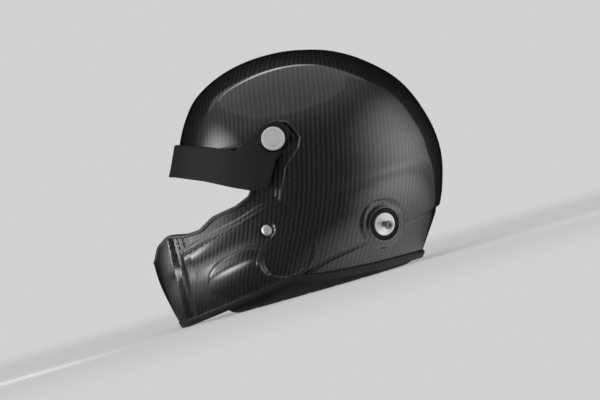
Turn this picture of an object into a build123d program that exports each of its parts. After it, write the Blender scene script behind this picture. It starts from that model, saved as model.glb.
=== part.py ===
from build123d import *
import math
import os

os.makedirs("parts", exist_ok=True)

# Closed rally helmet with a peak. Millimetres. It rests level on its base, faces -X, and its left side is -Y.
# The origin is on the base plane, under the middle of the helmet. Left pieces are made first and mirrored.

# Overall sizes of the shell
shell_length = 337.0
shell_width = 250.0
shell_height = 263.3

# Walls, layers and clearances
shell_wall = 4.6
visor_seat_depth = 2.6
lower_panel_depth = 2.4
foam_thickness = 33.0
liner_thickness = 7.5
chin_foam_thickness = 15.4
seat_gap = 0.3
running_gap = 0.05
bedding_gap = 0.02
overrun = 40.0

# Form of the shell, as levels from below the base to the crown. Heights are shares of the shell's height,
# the front, middle and rear of its length, and the half width of its width. The pinch draws the chin in.
level_shares = [
    (-0.0608, -0.4421, -0.0119, 0.2878, 0.352, 0.35),
    (0.0, -0.4688, 0.0, 0.3353, 0.388, 0.35),
    (0.0949, -0.4881, 0.0237, 0.3902, 0.436, 0.35),
    (0.2127, -0.503, 0.0445, 0.451, 0.472, 0.35),
    (0.3228, -0.5, 0.0593, 0.4837, 0.492, 0.33),
    (0.4178, -0.4748, 0.0653, 0.4985, 0.5, 0.25),
    (0.5127, -0.4273, 0.0653, 0.4961, 0.499, 0.13),
    (0.6077, -0.368, 0.0623, 0.4792, 0.483, 0.04),
    (0.695, -0.3323, 0.0593, 0.4534, 0.452, 0.0),
    (0.771, -0.3042, 0.0564, 0.4169, 0.41, 0.0),
    (0.8393, -0.2715, 0.0469, 0.365, 0.358, 0.0),
    (0.9039, -0.227, 0.0362, 0.2997, 0.286, 0.0),
    (0.9533, -0.1617, 0.0318, 0.2255, 0.204, 0.0),
    (0.9837, -0.092, 0.0258, 0.1439, 0.122, 0.0),
    (0.9973, -0.0267, 0.0237, 0.0801, 0.05, 0.0),
    (1.0, 0.0237, 0.0237, 0.0237, 0.0, 0.0),
]
waist_share = 0.4178
steps_round_half = 16

# Side outlines, as shares of the shell's length and height
base_edge_shares = [
    (-0.682, 0.0), (-0.445, 0.0), (-0.264, 0.03), (-0.08, 0.063), (0.006, 0.036), (0.178, 0.017),
    (0.356, 0.009), (0.682, 0.023), (0.682, -0.228), (-0.682, -0.228),
]
eyeport_shares = [
    (-0.682, 0.289), (-0.501, 0.289), (-0.475, 0.349), (-0.433, 0.382), (-0.38, 0.365),
    (-0.326, 0.368), (-0.273, 0.406), (-0.19, 0.422), (-0.139, 0.448), (-0.104, 0.517), (-0.08, 0.585),
    (-0.092, 0.638), (-0.136, 0.661), (-0.237, 0.676), (-0.35, 0.695), (-0.682, 0.706),
]
visor_seat_shares = [
    (-0.409, 0.292), (-0.309, 0.324), (-0.193, 0.354), (-0.112, 0.385), (-0.05, 0.404),
    (-0.037, 0.444), (-0.007, 0.528), (0.05, 0.591), (0.064, 0.627), (0.039, 0.699), (0.0, 0.714),
    (-0.042, 0.697), (-0.119, 0.646), (-0.169, 0.642), (-0.223, 0.676), (-0.32, 0.725),
    (-0.682, 0.874), (-0.682, 0.532), (-0.409, 0.494),
]
lower_panel_shares = [
    (-0.053, 0.084), (0.053, 0.122), (0.148, 0.139), (0.249, 0.152), (0.344, 0.179), (0.439, 0.199),
    (0.682, 0.228), (0.682, -0.228), (-0.053, -0.228),
]
peak_shares = [
    (-0.682, 0.839), (-0.324, 0.742), (-0.219, 0.691), (-0.148, 0.649), (-0.119, 0.659),
    (-0.039, 0.714), (0.009, 0.722), (0.036, 0.687), (0.039, 0.646), (0.019, 0.619), (-0.03, 0.559),
    (-0.073, 0.465), (-0.126, 0.469), (-0.186, 0.505), (-0.274, 0.566), (-0.369, 0.619),
    (-0.682, 0.722),
]
foam_edge_shares = [
    (-0.682, -0.228), (-0.682, 0.718), (-0.35, 0.706), (-0.231, 0.689), (-0.131, 0.674),
    (-0.08, 0.649), (-0.067, 0.585), (-0.065, 0.403), (-0.024, 0.403), (-0.024, 0.228), (0.107, 0.19),
    (0.178, 0.144), (0.682, 0.129), (0.682, -0.228),
]
chin_foam_shares = [
    (-0.564, 0.072), (-0.564, 0.273), (-0.493, 0.273), (-0.451, 0.334), (-0.38, 0.327),
    (-0.297, 0.311), (-0.269, 0.289), (-0.269, 0.072),
]
cheek_foam_shares = [
    (-0.266, 0.114), (-0.266, 0.327), (-0.19, 0.357), (-0.101, 0.389), (-0.037, 0.395),
    (-0.037, 0.368), (-0.165, 0.368), (-0.178, 0.114),
]
cheek_pad_shares = [
    (-0.107, -0.099), (-0.042, -0.133), (0.042, -0.129), (0.095, -0.068), (0.104, 0.076),
    (0.08, 0.118), (0.0, 0.11), (-0.101, 0.065),
]
outline_radius = 7.0
seat_corner_radius = 3.0

# Places on the side, as shares of the shell's length and height
peak_pivot_share = (-0.0163, 0.6506)
rivet_share = (-0.1151, 0.299)
anchor_share = (0.2485, 0.1914)
pod_share = (-0.0748, 0.1766)
blister_share = (-0.2315, 0.1633)
ear_share = (0.0593, 0.357)
cheek_share = (-0.1484, 0.2583)
mic_share = (-0.2908, 0.1975)

# Edgings
base_trim_height = 8.0
base_trim_lip = 0.8
eyeport_trim_depth = 2.2
eyeport_trim_lip = 0.6

# Peak and its screws
peak_gap = 4.0
peak_wall = 2.5
hub_radius = 15.2
hub_pocket_radius = 12.4
hub_disc = 3.2
seat_radius = 15.0
seat_face_radius = 11.0
seat_ring_radius = 16.2
seat_face_stand = 1.5
seat_ring_drop = 3.5
seat_root_depth = 11.0
washer_thickness = 1.2
washer_radius = 10.0
screw_head_radius = 12.75
screw_head_height = 3.4
screw_head_room = 0.45
screw_shoulder_radius = 5.0
screw_shank_radius = 3.0
screw_shank_length = 12.0
screw_groove_radius = 9.0
screw_groove_width = 0.8
screw_groove_depth = 0.5
screw_slot_width = 1.6
screw_slot_length = 5.0
insert_radius = 5.8
insert_length = 9.0

# Jaw blister and ear pod
blister_length = 84.0
blister_height = 44.0
blister_stand = 5.0
blister_depth = 9.0
blister_turn = 29.0
blister_tilt = 10.0
pod_length = 62.0
pod_height = 44.0
pod_floor_depth = 0.2
pod_floor_back = 4.5
pod_floor_lift = 2.5
pod_tilt = 14.0

# Restraint anchors
anchor_turn = 27.0
anchor_drop = 13.0
anchor_pocket_radius = 27.0
anchor_seat_radius = 19.4
anchor_seat_depth = 1.8
anchor_boss_radius = 23.0
anchor_boss_depth = 8.0
anchor_ring_radius = 17.0
anchor_ring_height = 3.4
anchor_dish_radius = 12.35
anchor_dish_height = 5.0
anchor_dish_hollow = 1.6
anchor_neck_radius = 3.2
anchor_neck_length = 9.6
anchor_head_radius = 4.7
anchor_head_height = 3.0
anchor_socket_radius = 2.0
anchor_socket_depth = 2.0
anchor_shank_radius = 3.0
anchor_nut_radius = 9.0
anchor_nut_height = 4.0

# Strap, its rivets and its buckle
rivet_head_radius = 6.0
rivet_head_height = 2.4
rivet_spot_radius = 6.5
rivet_spot_depth = 1.2
rivet_shank_radius = 3.0
rivet_shoulder_radius = 6.0
rivet_flange_height = 1.8
tab_face = 100.0
tab_thickness = 2.0
tab_width = 27.0
tab_length = 20.0
webbing_width = 25.0
webbing_thickness = 2.0
webbing_overlap = 12.0
webbing_knee_share = (0.352, 0.129)
webbing_foot_share = (0.208, 0.0323)
webbing_straight = 22.0
webbing_bend = 12.0
ring_wire = 3.0
ring_clear = 1.2
ring_depth = 8.0
ring_pitch = 6.0
ring_place_share = 0.5
strap_pad_length = 90.0
strap_pad_width = 31.0
strap_pad_thickness = 8.0
strap_pad_end_share = 0.72
strap_pad_corner = 1.6

# Padding
roll_height = 18.0
roll_outer_shares = [(0.0, 3.4), (0.14, 2.2), (0.42, 1.4), (0.72, 1.25), (1.0, 1.25)]
roll_inner_shares = [(0.0, 4.3), (0.14, 5.1), (0.5, 5.6), (0.86, 5.1), (1.0, 4.5)]
roll_front_share = -0.335
cheek_plane = 81.0
cheek_turn = 12.0
cheek_depth = 20.0
cheek_levels_shares = [(0.0, 0.9), (0.25, 1.0), (0.65, 0.98), (0.88, 0.86), (1.0, 0.66)]
brow_top_share = 0.79
brow_rear_share = -0.03
ear_length = 60.0
ear_height = 72.0
ear_cup_wall = 4.0
ear_cup_face = 94.0
ear_clear = 2.2
ear_cushion_depth = 14.6
ear_cushion_wall = 12.0
ear_cushion_levels_shares = [(0.0, 0.94), (0.35, 1.0), (0.75, 0.97), (1.0, 0.8)]
speaker_radius = 17.0
speaker_height = 6.0
magnet_radius = 11.0
speaker_setback = 3.5

# Boom microphone
bracket_size = 14.0
bracket_ear = 3.0
bracket_reach = 6.5
mic_pin_radius = 1.5
mic_barrel_radius = 2.9
boom_radius = 2.2
boom_reach = 40.0
boom_forward = 20.0
boom_rise = 5.0
capsule_radius = 5.5
capsule_length = 9.0
windscreen_radius = 9.5


def levels(inset):
    # The levels drawn in by an inset: flat below the waist, and scaled above it so that the crown drops too.
    waist = waist_share * shell_height
    waist_row = next(row for row in level_shares if row[0] == waist_share)
    waist_front = (waist_row[2] - waist_row[1]) * shell_length
    waist_rear = (waist_row[3] - waist_row[2]) * shell_length
    waist_half = waist_row[4] * shell_width
    rows = []
    for height_share, front_share, middle_share, rear_share, half_share, pinch_share in level_shares:
        height = height_share * shell_height
        middle = middle_share * shell_length
        front = (middle_share - front_share) * shell_length
        rear = (rear_share - middle_share) * shell_length
        half = half_share * shell_width
        if height > waist:
            height = waist + (height - waist) * (1 - inset / (shell_height - waist))
            front *= 1 - inset / waist_front
            rear *= 1 - inset / waist_rear
            half *= 1 - inset / waist_half
        else:
            front, rear, half = front - inset, rear - inset, half - inset
        rows.append((height, middle, front, rear, half, pinch_share))
    return rows


def level_at(height, inset=0):
    # The level at any height, on a smooth curve through its neighbours.
    rows = levels(inset)
    last = len(rows) - 2
    place = next((i for i in range(last) if rows[i + 1][0] >= height), last - 1)
    below, start, end, above = (rows[max(0, min(last, place + k))] for k in (-1, 0, 1, 2))
    part = (height - start[0]) / (end[0] - start[0])
    values = [height]
    for k in range(1, len(start)):
        rise_start = (end[k] - below[k]) / (end[0] - below[0]) * (end[0] - start[0])
        rise_end = (above[k] - start[k]) / (above[0] - start[0]) * (end[0] - start[0])
        values.append(
            start[k] * (2 * part**3 - 3 * part**2 + 1)
            + rise_start * (part**3 - 2 * part**2 + part)
            + end[k] * (3 * part**2 - 2 * part**3)
            + rise_end * (part**3 - part**2)
        )
    return values


def half_at(x, height, inset=0):
    # Half the width of the form at a place on its side.
    _, middle, front, rear, half, pinch = level_at(height, inset)
    along = (middle - x) / front if x < middle else (x - middle) / rear
    draw = 1 - pinch * along**2 if x < middle else 1
    return half * math.sqrt(1 - along**2) * draw


def ring(level):
    # Two half ellipses joined at the widest place, the front one pinched towards the chin.
    height, middle, front, rear, half, pinch = level
    points = []
    for step in range(2 * steps_round_half):
        angle = math.pi * step / steps_round_half
        along, across = math.cos(angle), math.sin(angle)
        reach = front if along > 0 else rear
        draw = 1 - pinch * along**2 if along > 0 else 1
        points.append((middle - reach * along, half * across * draw, height))
    return Wire([Spline(*points, periodic=True)])


bodies = {}


def body(inset):
    # The whole form of the helmet, closed over the eyeport, drawn in by an inset.
    if inset not in bodies:
        rows = levels(inset)
        crown = rows[-1]
        bodies[inset] = Solid.make_loft([ring(row) for row in rows[:-1]] + [Vertex(crown[1], 0, crown[0])])
    return bodies[inset]


def spot(share):
    return share[0] * shell_length, share[1] * shell_height


def side_face(shares, radius=outline_radius, grow=0):
    line = FilletPolyline(*[spot(share) for share in shares], radius=radius, close=True)
    face = make_face(line.edges())
    if grow:
        face = offset(face, grow)
    return Plane.XZ * face


def side_plane(x, z, y=0):
    # A plane square to Y at a place, facing the left side.
    return Plane(origin=(x, y, z), x_dir=(1, 0, 0), z_dir=(0, -1, 0))


def through(face):
    # A prism right through the helmet from side to side.
    return extrude(face, amount=shell_width, both=True)


def left_prism(face, near, far):
    # A prism on the left side, between two distances from the middle plane.
    return extrude(Pos(0, -near, 0) * face, amount=far - near, dir=(0, -1, 0))


def left_rod(share, radius, near, far):
    return left_prism(side_plane(*spot(share)) * Circle(radius), near, far)


def left_oval(share, length, height, near, far, tilt=0):
    return left_prism(side_plane(*spot(share)) * Rot(0, 0, tilt) * Ellipse(length / 2, height / 2), near, far)


def both(left):
    return Part() + [left, mirror(left, about=Plane.XZ)]


def right(left):
    return mirror(left, about=Plane.XZ)


def save(name, shape):
    solids = shape.solids()
    print(name, len(solids), round(sum(solid.volume for solid in solids)))
    export_step(Compound(children=list(solids)) if len(solids) > 1 else solids[0], f"parts/{name}.step")


far = shell_width
upward = (Align.CENTER, Align.CENTER, Align.MIN)
downward = (Align.CENTER, Align.CENTER, Align.MAX)
pivot_x, pivot_z = spot(peak_pivot_share)
rivet_x, rivet_z = spot(rivet_share)
anchor_x, anchor_z = spot(anchor_share)
seat_face = half_at(pivot_x, pivot_z) + seat_face_stand
seat_ring = seat_face - seat_ring_drop
disc_low = seat_face + washer_thickness + running_gap
disc_top = disc_low + hub_disc
rivet_wall = half_at(rivet_x, rivet_z, shell_wall)
rivet_spot = half_at(rivet_x, rivet_z) - rivet_spot_depth
anchor_face = half_at(anchor_x, anchor_z, lower_panel_depth)
anchor_plane = Plane(
    origin=(anchor_x, -anchor_face, anchor_z),
    x_dir=(math.cos(math.radians(anchor_turn)), math.sin(math.radians(anchor_turn)), 0),
    z_dir=(
        math.sin(math.radians(anchor_turn)) * math.cos(math.radians(anchor_drop)),
        -math.cos(math.radians(anchor_turn)) * math.cos(math.radians(anchor_drop)),
        -math.sin(math.radians(anchor_drop)),
    ),
)


def anchor_rod(radius, low, high):
    # A cylinder along a left anchor's own axis, with heights from the panel's surface outwards.
    return anchor_plane * Pos(0, 0, low) * Cylinder(radius, high - low, align=upward)


def make_blister():
    # A long low swelling on the jaw, ahead of the ear pod.
    x, z = spot(blister_share)
    stand = half_at(x, z) + blister_stand - blister_depth
    lens = scale(Sphere(1), by=(blister_length / 2, blister_depth, blister_height / 2))
    return Pos(x, -stand, z) * Rot(0, 0, -blister_turn) * Rot(0, -blister_tilt, 0) * lens


def make_shell():
    seat = through(side_face(visor_seat_shares, seat_corner_radius)) - body(visor_seat_depth)
    panel = through(side_face(lower_panel_shares))
    panel += both(left_rod(anchor_share, anchor_pocket_radius, 0, far))
    panel -= body(lower_panel_depth)
    shell = Part() + body(0) - seat - panel
    shell += both(make_blister())
    # The ear pocket's floor is the shell's own form moved back and up, so it is deepest at its lower front.
    pocket = left_oval(pod_share, pod_length, pod_height, 0, far, pod_tilt)
    shell -= both(pocket) - Pos(pod_floor_back, 0, pod_floor_lift) * body(pod_floor_depth)
    shell -= body(shell_wall)
    root = left_rod(peak_pivot_share, seat_radius, seat_ring - seat_root_depth + seat_ring_drop, seat_ring)
    root += anchor_rod(anchor_boss_radius, -anchor_boss_depth, 0)
    shell += both(root)
    shell -= both(left_rod(peak_pivot_share, seat_ring_radius, seat_ring, far))
    shell += both(left_rod(peak_pivot_share, seat_face_radius, seat_ring, seat_face))
    holes = left_rod(peak_pivot_share, insert_radius, 0, far)
    holes += left_rod(rivet_share, rivet_shank_radius, 0, far)
    holes += left_rod(rivet_share, rivet_spot_radius, rivet_spot, far)
    holes += anchor_rod(anchor_seat_radius, -anchor_seat_depth, overrun)
    holes += anchor_rod(anchor_shank_radius, -overrun, overrun)
    shell -= both(holes)
    shell -= through(side_face(eyeport_shares))
    shell -= Pos(0, 0, base_trim_height) * through(side_face(base_edge_shares))
    return shell


def make_base_trim():
    below = through(side_face(base_edge_shares))
    band = Pos(0, 0, base_trim_height) * below - below
    return (Part() + body(-base_trim_lip) - body(shell_wall + base_trim_lip)) & band


def make_eyeport_trim():
    band = through(side_face(eyeport_shares)) - through(side_face(eyeport_shares, grow=-eyeport_trim_depth))
    return (Part() + body(-eyeport_trim_lip) - body(shell_wall + eyeport_trim_lip)) & band


def make_peak():
    # The hubs fill the arms' hollow side out to the middle of their wall, and stand flat behind the screws.
    peak = (Part() + through(side_face(peak_shares, seat_corner_radius))) & body(-peak_gap - peak_wall)
    peak -= body(-peak_gap)
    hub = left_rod(peak_pivot_share, hub_radius, seat_ring + seat_gap, far) & body(-peak_gap - peak_wall / 2)
    hub += left_rod(peak_pivot_share, hub_radius, seat_ring + seat_gap, disc_top)
    peak += both(hub)
    holes = left_rod(peak_pivot_share, hub_pocket_radius, 0, disc_low)
    holes += left_rod(peak_pivot_share, seat_radius + 2 * seat_gap, 0, seat_ring + seat_gap)
    holes += left_rod(peak_pivot_share, screw_head_radius + screw_head_room, disc_top, far)
    holes += left_rod(peak_pivot_share, screw_shoulder_radius + running_gap, 0, far)
    return peak - both(holes)


def make_peak_screw():
    low = disc_top + running_gap
    head = left_rod(peak_pivot_share, screw_head_radius, low, low + screw_head_height)
    head = chamfer(head.edges().group_by(Axis.Y)[0], screw_groove_depth)
    groove_floor = low + screw_head_height - screw_groove_depth
    groove = left_rod(peak_pivot_share, screw_groove_radius, groove_floor, far)
    groove -= left_rod(peak_pivot_share, screw_groove_radius - screw_groove_width, 0, far)
    slot = side_plane(pivot_x, pivot_z) * Rectangle(screw_slot_length, screw_slot_width)
    slot = left_prism(slot, groove_floor, far)
    stem = left_rod(peak_pivot_share, screw_shoulder_radius, seat_face + bedding_gap, low)
    stem += left_rod(peak_pivot_share, screw_shank_radius, low - screw_shank_length, low)
    return head - groove - slot + stem


def make_peak_washer():
    washer = left_rod(peak_pivot_share, washer_radius, seat_face, seat_face + washer_thickness)
    return washer - left_rod(peak_pivot_share, screw_shoulder_radius + running_gap, 0, far)


def make_peak_insert():
    insert = left_rod(peak_pivot_share, insert_radius, seat_face - insert_length, seat_face)
    return insert - left_rod(peak_pivot_share, screw_shank_radius + running_gap, 0, far)


def make_strap_rivet():
    dome_radius = (rivet_head_radius**2 + rivet_head_height**2) / (2 * rivet_head_height)
    dome = Pos(rivet_x, -rivet_spot - rivet_head_height + dome_radius, rivet_z) * Sphere(dome_radius)
    head = dome & left_rod(rivet_share, rivet_head_radius, rivet_spot, far)
    shank = left_rod(rivet_share, rivet_shank_radius, tab_face - tab_thickness - 2 * running_gap, rivet_spot)
    wall = left_rod(rivet_share, rivet_shoulder_radius, tab_face, far) & body(shell_wall + bedding_gap)
    low = tab_face - tab_thickness - 2 * running_gap
    flange = left_rod(rivet_share, rivet_shoulder_radius, low - rivet_flange_height, low)
    return head + shank + wall + flange


def make_anchor_ring():
    ring_top = anchor_ring_height - anchor_seat_depth
    band = anchor_rod(anchor_ring_radius, -anchor_seat_depth, ring_top)
    rim = band.edges().sort_by(lambda edge: anchor_plane.to_local_coords(edge.center()).Z)[-1]
    band = chamfer(rim, base_trim_lip)
    return band - anchor_rod(anchor_dish_radius, -overrun, overrun)


def make_anchor_dish():
    top = anchor_dish_height - anchor_seat_depth
    dish = anchor_rod(anchor_dish_radius, -anchor_seat_depth, top)
    narrow, wide = anchor_neck_radius + running_gap, anchor_dish_radius - base_trim_lip
    bowl = Cone(narrow, wide, anchor_dish_hollow, align=upward)
    dish -= anchor_plane * Pos(0, 0, top - anchor_dish_hollow) * bowl
    return dish - anchor_rod(anchor_neck_radius, -overrun, overrun)


def make_anchor_post():
    head_low = anchor_neck_length
    post = anchor_rod(anchor_neck_radius, -anchor_seat_depth, head_low)
    post += anchor_rod(anchor_head_radius, head_low, head_low + anchor_head_height)
    post += anchor_rod(anchor_shank_radius, -anchor_boss_depth - anchor_nut_height, -anchor_seat_depth)
    top = head_low + anchor_head_height
    socket = extrude(RegularPolygon(anchor_socket_radius, 6), anchor_socket_depth + overrun)
    return post - anchor_plane * Pos(0, 0, top - anchor_socket_depth) * socket


def make_anchor_nut():
    low = -anchor_boss_depth - anchor_nut_height
    nut = anchor_rod(anchor_nut_radius, low, -anchor_boss_depth)
    return nut - anchor_rod(anchor_shank_radius, -overrun, overrun)


def ear_gap(clear):
    return both(left_oval(ear_share, ear_length + clear, ear_height + clear, 0, far))


def make_foam_liner():
    foam = Part() + body(shell_wall + bedding_gap) - body(shell_wall + bedding_gap + foam_thickness)
    foam -= through(side_face(foam_edge_shares))
    room = left_rod(peak_pivot_share, seat_radius + seat_gap, seat_face - seat_root_depth - seat_gap, far)
    low = -anchor_boss_depth - anchor_nut_height - seat_gap
    room += anchor_rod(anchor_boss_radius + seat_gap, low, overrun)
    return foam - both(room) - ear_gap(ear_clear)


liner_outer = shell_wall + foam_thickness + seat_gap


def make_liner_layer():
    layer = Part() + body(liner_outer) - through(side_face(foam_edge_shares))
    return layer - body(liner_outer + liner_thickness) - ear_gap(2 * ear_clear)


def brow_zone(extra):
    height = brow_top_share * shell_height + extra
    rear = brow_rear_share * shell_length + extra
    return Pos(rear, 0, 0) * Box(far * 2, far * 2, height, align=(Align.MAX, Align.CENTER, Align.MIN))


def make_chin_foam():
    foam = Part() + body(shell_wall + bedding_gap) - body(shell_wall + chin_foam_thickness)
    return foam & through(side_face(chin_foam_shares, seat_corner_radius))


# The plane of a left cheek pad's outer face, turned with the jaw, with +Z towards the face
cheek_x, cheek_z = spot(cheek_share)
cheek_face_plane = Plane(
    origin=(cheek_x, -cheek_plane, cheek_z),
    x_dir=(math.cos(math.radians(cheek_turn)), -math.sin(math.radians(cheek_turn)), 0),
    z_dir=(math.sin(math.radians(cheek_turn)), math.cos(math.radians(cheek_turn)), 0),
)


def make_cheek_foam():
    block = through(side_face(cheek_foam_shares, seat_corner_radius)) & body(shell_wall + bedding_gap)
    return block & cheek_face_plane * Pos(0, 0, -seat_gap) * Box(far * 2, far * 2, far, align=downward)


def make_cheek_pad():
    sections = []
    for depth_share, size_share in cheek_levels_shares:
        points = [(-x * size_share, z * size_share) for x, z in (spot(share) for share in cheek_pad_shares)]
        line = FilletPolyline(*points, radius=outline_radius, close=True)
        sections.append(Pos(0, 0, depth_share * cheek_depth) * make_face(line.edges()))
    return cheek_face_plane * Rot(0, 0, 180) * mirror(loft(sections), about=Plane.XZ)


def make_neck_roll():
    def side(shares):
        wires = []
        for height_share, inset_share in shares:
            wires.append(ring(level_at(height_share * roll_height, inset_share * shell_wall)))
        return Solid.make_loft(wires)

    roll = Part() + side(roll_outer_shares) - side(roll_inner_shares)
    front = Pos(roll_front_share * shell_length, 0, 0) * Box(
        far, far * 2, far, align=(Align.MAX, Align.CENTER, Align.CENTER)
    )
    return roll - front


def make_ear_cup():
    cup = left_oval(ear_share, ear_length, ear_height, ear_cup_face, far) & body(shell_wall + bedding_gap)
    hollow = left_oval(ear_share, ear_length - 2 * ear_cup_wall, ear_height - 2 * ear_cup_wall, 0, far)
    return cup - (hollow & body(shell_wall + ear_cup_wall))


def make_ear_cushion():
    x, z = spot(ear_share)
    sides = []
    for wall in (0, ear_cushion_wall):
        sections = []
        for depth_share, size_share in ear_cushion_levels_shares:
            y = -ear_cup_face + seat_gap + depth_share * ear_cushion_depth
            shrink = (1 - size_share) * ear_cushion_wall * (1 if wall == 0 else -1)
            oval = Ellipse(ear_length / 2 - wall - shrink, ear_height / 2 - wall - shrink)
            sections.append(side_plane(x, z, y) * oval)
        sides.append(loft(sections))
    return sides[0] - sides[1]


def make_speaker():
    face = ear_cup_face + speaker_setback
    magnet = left_rod(ear_share, magnet_radius, face, far) & body(shell_wall + ear_cup_wall + bedding_gap)
    return magnet + left_rod(ear_share, speaker_radius, face, face + speaker_height)


def webbing_line():
    # The strap's middle line seen from the front: down each side, in under the jaw and across.
    start = (-tab_face + tab_thickness + webbing_thickness / 2, rivet_z - webbing_overlap + webbing_thickness)
    drop = (start[0], start[1] - webbing_straight / 2)
    knee = (-webbing_knee_share[0] * shell_width, webbing_knee_share[1] * shell_height)
    foot = (-webbing_foot_share[0] * shell_width, webbing_foot_share[1] * shell_height)
    left = [start, drop, knee, foot]
    return left + [(-y, z) for y, z in reversed(left)]


def make_chin_strap():
    line = FilletPolyline(*webbing_line(), radius=webbing_bend)
    face = trace(line, webbing_thickness)
    return Pos(rivet_x, 0, 0) * extrude(Plane.YZ * face, amount=webbing_width / 2, both=True)


def make_strap_tab():
    eye = Circle(tab_width / 2) + Pos(0, -tab_length / 2) * Rectangle(tab_width, tab_length)
    plate = left_prism(side_plane(rivet_x, rivet_z) * eye, tab_face - tab_thickness, tab_face - running_gap)
    return plate - left_rod(rivet_share, rivet_shank_radius + running_gap, 0, far)


def make_d_rings():
    # Two rings round the webbing on the right side, on the slope between its knee and its foot.
    points = webbing_line()
    foot, knee = Vector(0, *points[4]), Vector(0, *points[5])
    run = (knee - foot).normalized()
    width = webbing_width + 2 * ring_clear
    frame = Rectangle(width + 2 * ring_wire, ring_depth + 2 * ring_wire)
    frame = fillet(frame.vertices(), ring_wire) - Rectangle(width, ring_depth)
    lift = ring_depth / 2 - webbing_thickness / 2 - seat_gap
    rings = []
    for side in (-1, 1):
        middle = foot + (knee - foot) * ring_place_share + run * (side * ring_pitch / 2)
        plane = Plane(origin=(rivet_x, middle.Y, middle.Z), x_dir=(1, 0, 0), z_dir=tuple(run))
        rings.append(plane * Pos(0, -lift, 0) * extrude(frame, amount=ring_wire / 2, both=True))
    return Part() + rings


def make_strap_pad():
    foot_z = webbing_foot_share[1] * shell_height
    sections = []
    for place_share, size_share in ((-1, strap_pad_end_share), (0, 1), (1, strap_pad_end_share)):
        outline = Rectangle(strap_pad_width * (1 + size_share) / 2, strap_pad_thickness * size_share)
        outline = fillet(outline.vertices(), strap_pad_corner)
        sections.append(Plane.XZ.offset(-place_share * strap_pad_length / 2) * outline)
    slot = Box(webbing_width + 2 * bedding_gap, strap_pad_length * 2, webbing_thickness + 2 * bedding_gap)
    return Pos(rivet_x, 0, foot_z) * (loft(sections) - slot)


mic_x, mic_z = spot(mic_share)
mic_wall = half_at(mic_x, mic_z, shell_wall + chin_foam_thickness)
mic_pin_y = -(mic_wall - bracket_size + bracket_reach / 2)


def make_mic_bracket():
    block = Pos(mic_x, -mic_wall, mic_z) * Box(bracket_size, bracket_size * 2, bracket_size)
    block = block & body(shell_wall + chin_foam_thickness + bedding_gap)
    gap = Box(bracket_size * 2, 2 * bracket_reach, bracket_size - 2 * bracket_ear)
    return block - Pos(mic_x, mic_pin_y, mic_z) * (gap + Cylinder(mic_pin_radius, 2 * bracket_size))


def make_mic_pin():
    return Pos(mic_x, mic_pin_y, mic_z) * Cylinder(mic_pin_radius, bracket_size)


boom_end = Vector(mic_x - boom_forward, mic_pin_y + boom_reach, mic_z + boom_rise)


def make_mic_boom():
    pin = Vector(mic_x, mic_pin_y, mic_z)
    barrel = Pos(*pin) * Cylinder(mic_barrel_radius, bracket_size - 2 * bracket_ear - 2 * running_gap)
    bend = Vector(mic_x - mic_barrel_radius, mic_pin_y + boom_reach / 2, mic_z)
    line = FilletPolyline(pin, bend, boom_end, radius=boom_reach / 3)
    tube = sweep(Plane(origin=pin, z_dir=line % 0) * Circle(boom_radius), path=line)
    return barrel + tube - Pos(*pin) * Cylinder(mic_pin_radius + running_gap, bracket_size)


def capsule_plane():
    bend = Vector(mic_x - mic_barrel_radius, mic_pin_y + boom_reach / 2, mic_z)
    return Plane(origin=boom_end, z_dir=boom_end - bend)


def make_mic_capsule():
    return capsule_plane() * Cylinder(capsule_radius, capsule_length, align=upward)


def make_mic_windscreen():
    ball = capsule_plane() * Pos(0, 0, capsule_length / 2 + base_trim_lip) * Sphere(windscreen_radius)
    mouth = Cylinder(capsule_radius, windscreen_radius * 2 + capsule_length, align=downward)
    return ball - capsule_plane() * Pos(0, 0, capsule_length) * mouth


save("outer_shell", make_shell())
save("base_trim", make_base_trim())
save("eyeport_trim", make_eyeport_trim())
save("peak", make_peak())
save("peak_screw_left", make_peak_screw())
save("peak_screw_right", right(make_peak_screw()))
save("peak_washers", both(make_peak_washer()))
save("peak_inserts", both(make_peak_insert()))
save("strap_rivets", both(make_strap_rivet()))
save("anchor_rings", both(make_anchor_ring()))
save("anchor_dishes", both(make_anchor_dish()))
save("anchor_posts", both(make_anchor_post()))
save("anchor_nuts", both(make_anchor_nut()))
save("foam_liner", make_foam_liner())
layer = make_liner_layer()
save("crown_liner", layer - brow_zone(seat_gap))
save("brow_pad", layer & brow_zone(0))
save("chin_foam", make_chin_foam())
save("cheek_foam_left", make_cheek_foam())
save("cheek_foam_right", right(make_cheek_foam()))
save("cheek_pad_left", make_cheek_pad())
save("cheek_pad_right", right(make_cheek_pad()))
save("neck_roll", make_neck_roll())
save("ear_cup_left", make_ear_cup())
save("ear_cup_right", right(make_ear_cup()))
save("ear_cushion_left", make_ear_cushion())
save("ear_cushion_right", right(make_ear_cushion()))
save("speakers", both(make_speaker()))
save("chin_strap", make_chin_strap())
save("strap_tabs", both(make_strap_tab()))
save("d_rings", make_d_rings())
save("strap_pad", make_strap_pad())
save("mic_bracket", make_mic_bracket())
save("mic_pin", make_mic_pin())
save("mic_boom", make_mic_boom())
save("mic_capsule", make_mic_capsule())
save("mic_windscreen", make_mic_windscreen())
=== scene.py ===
import bmesh
import bpy
import math
import numpy as np
from mathutils import Matrix, Vector


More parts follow.
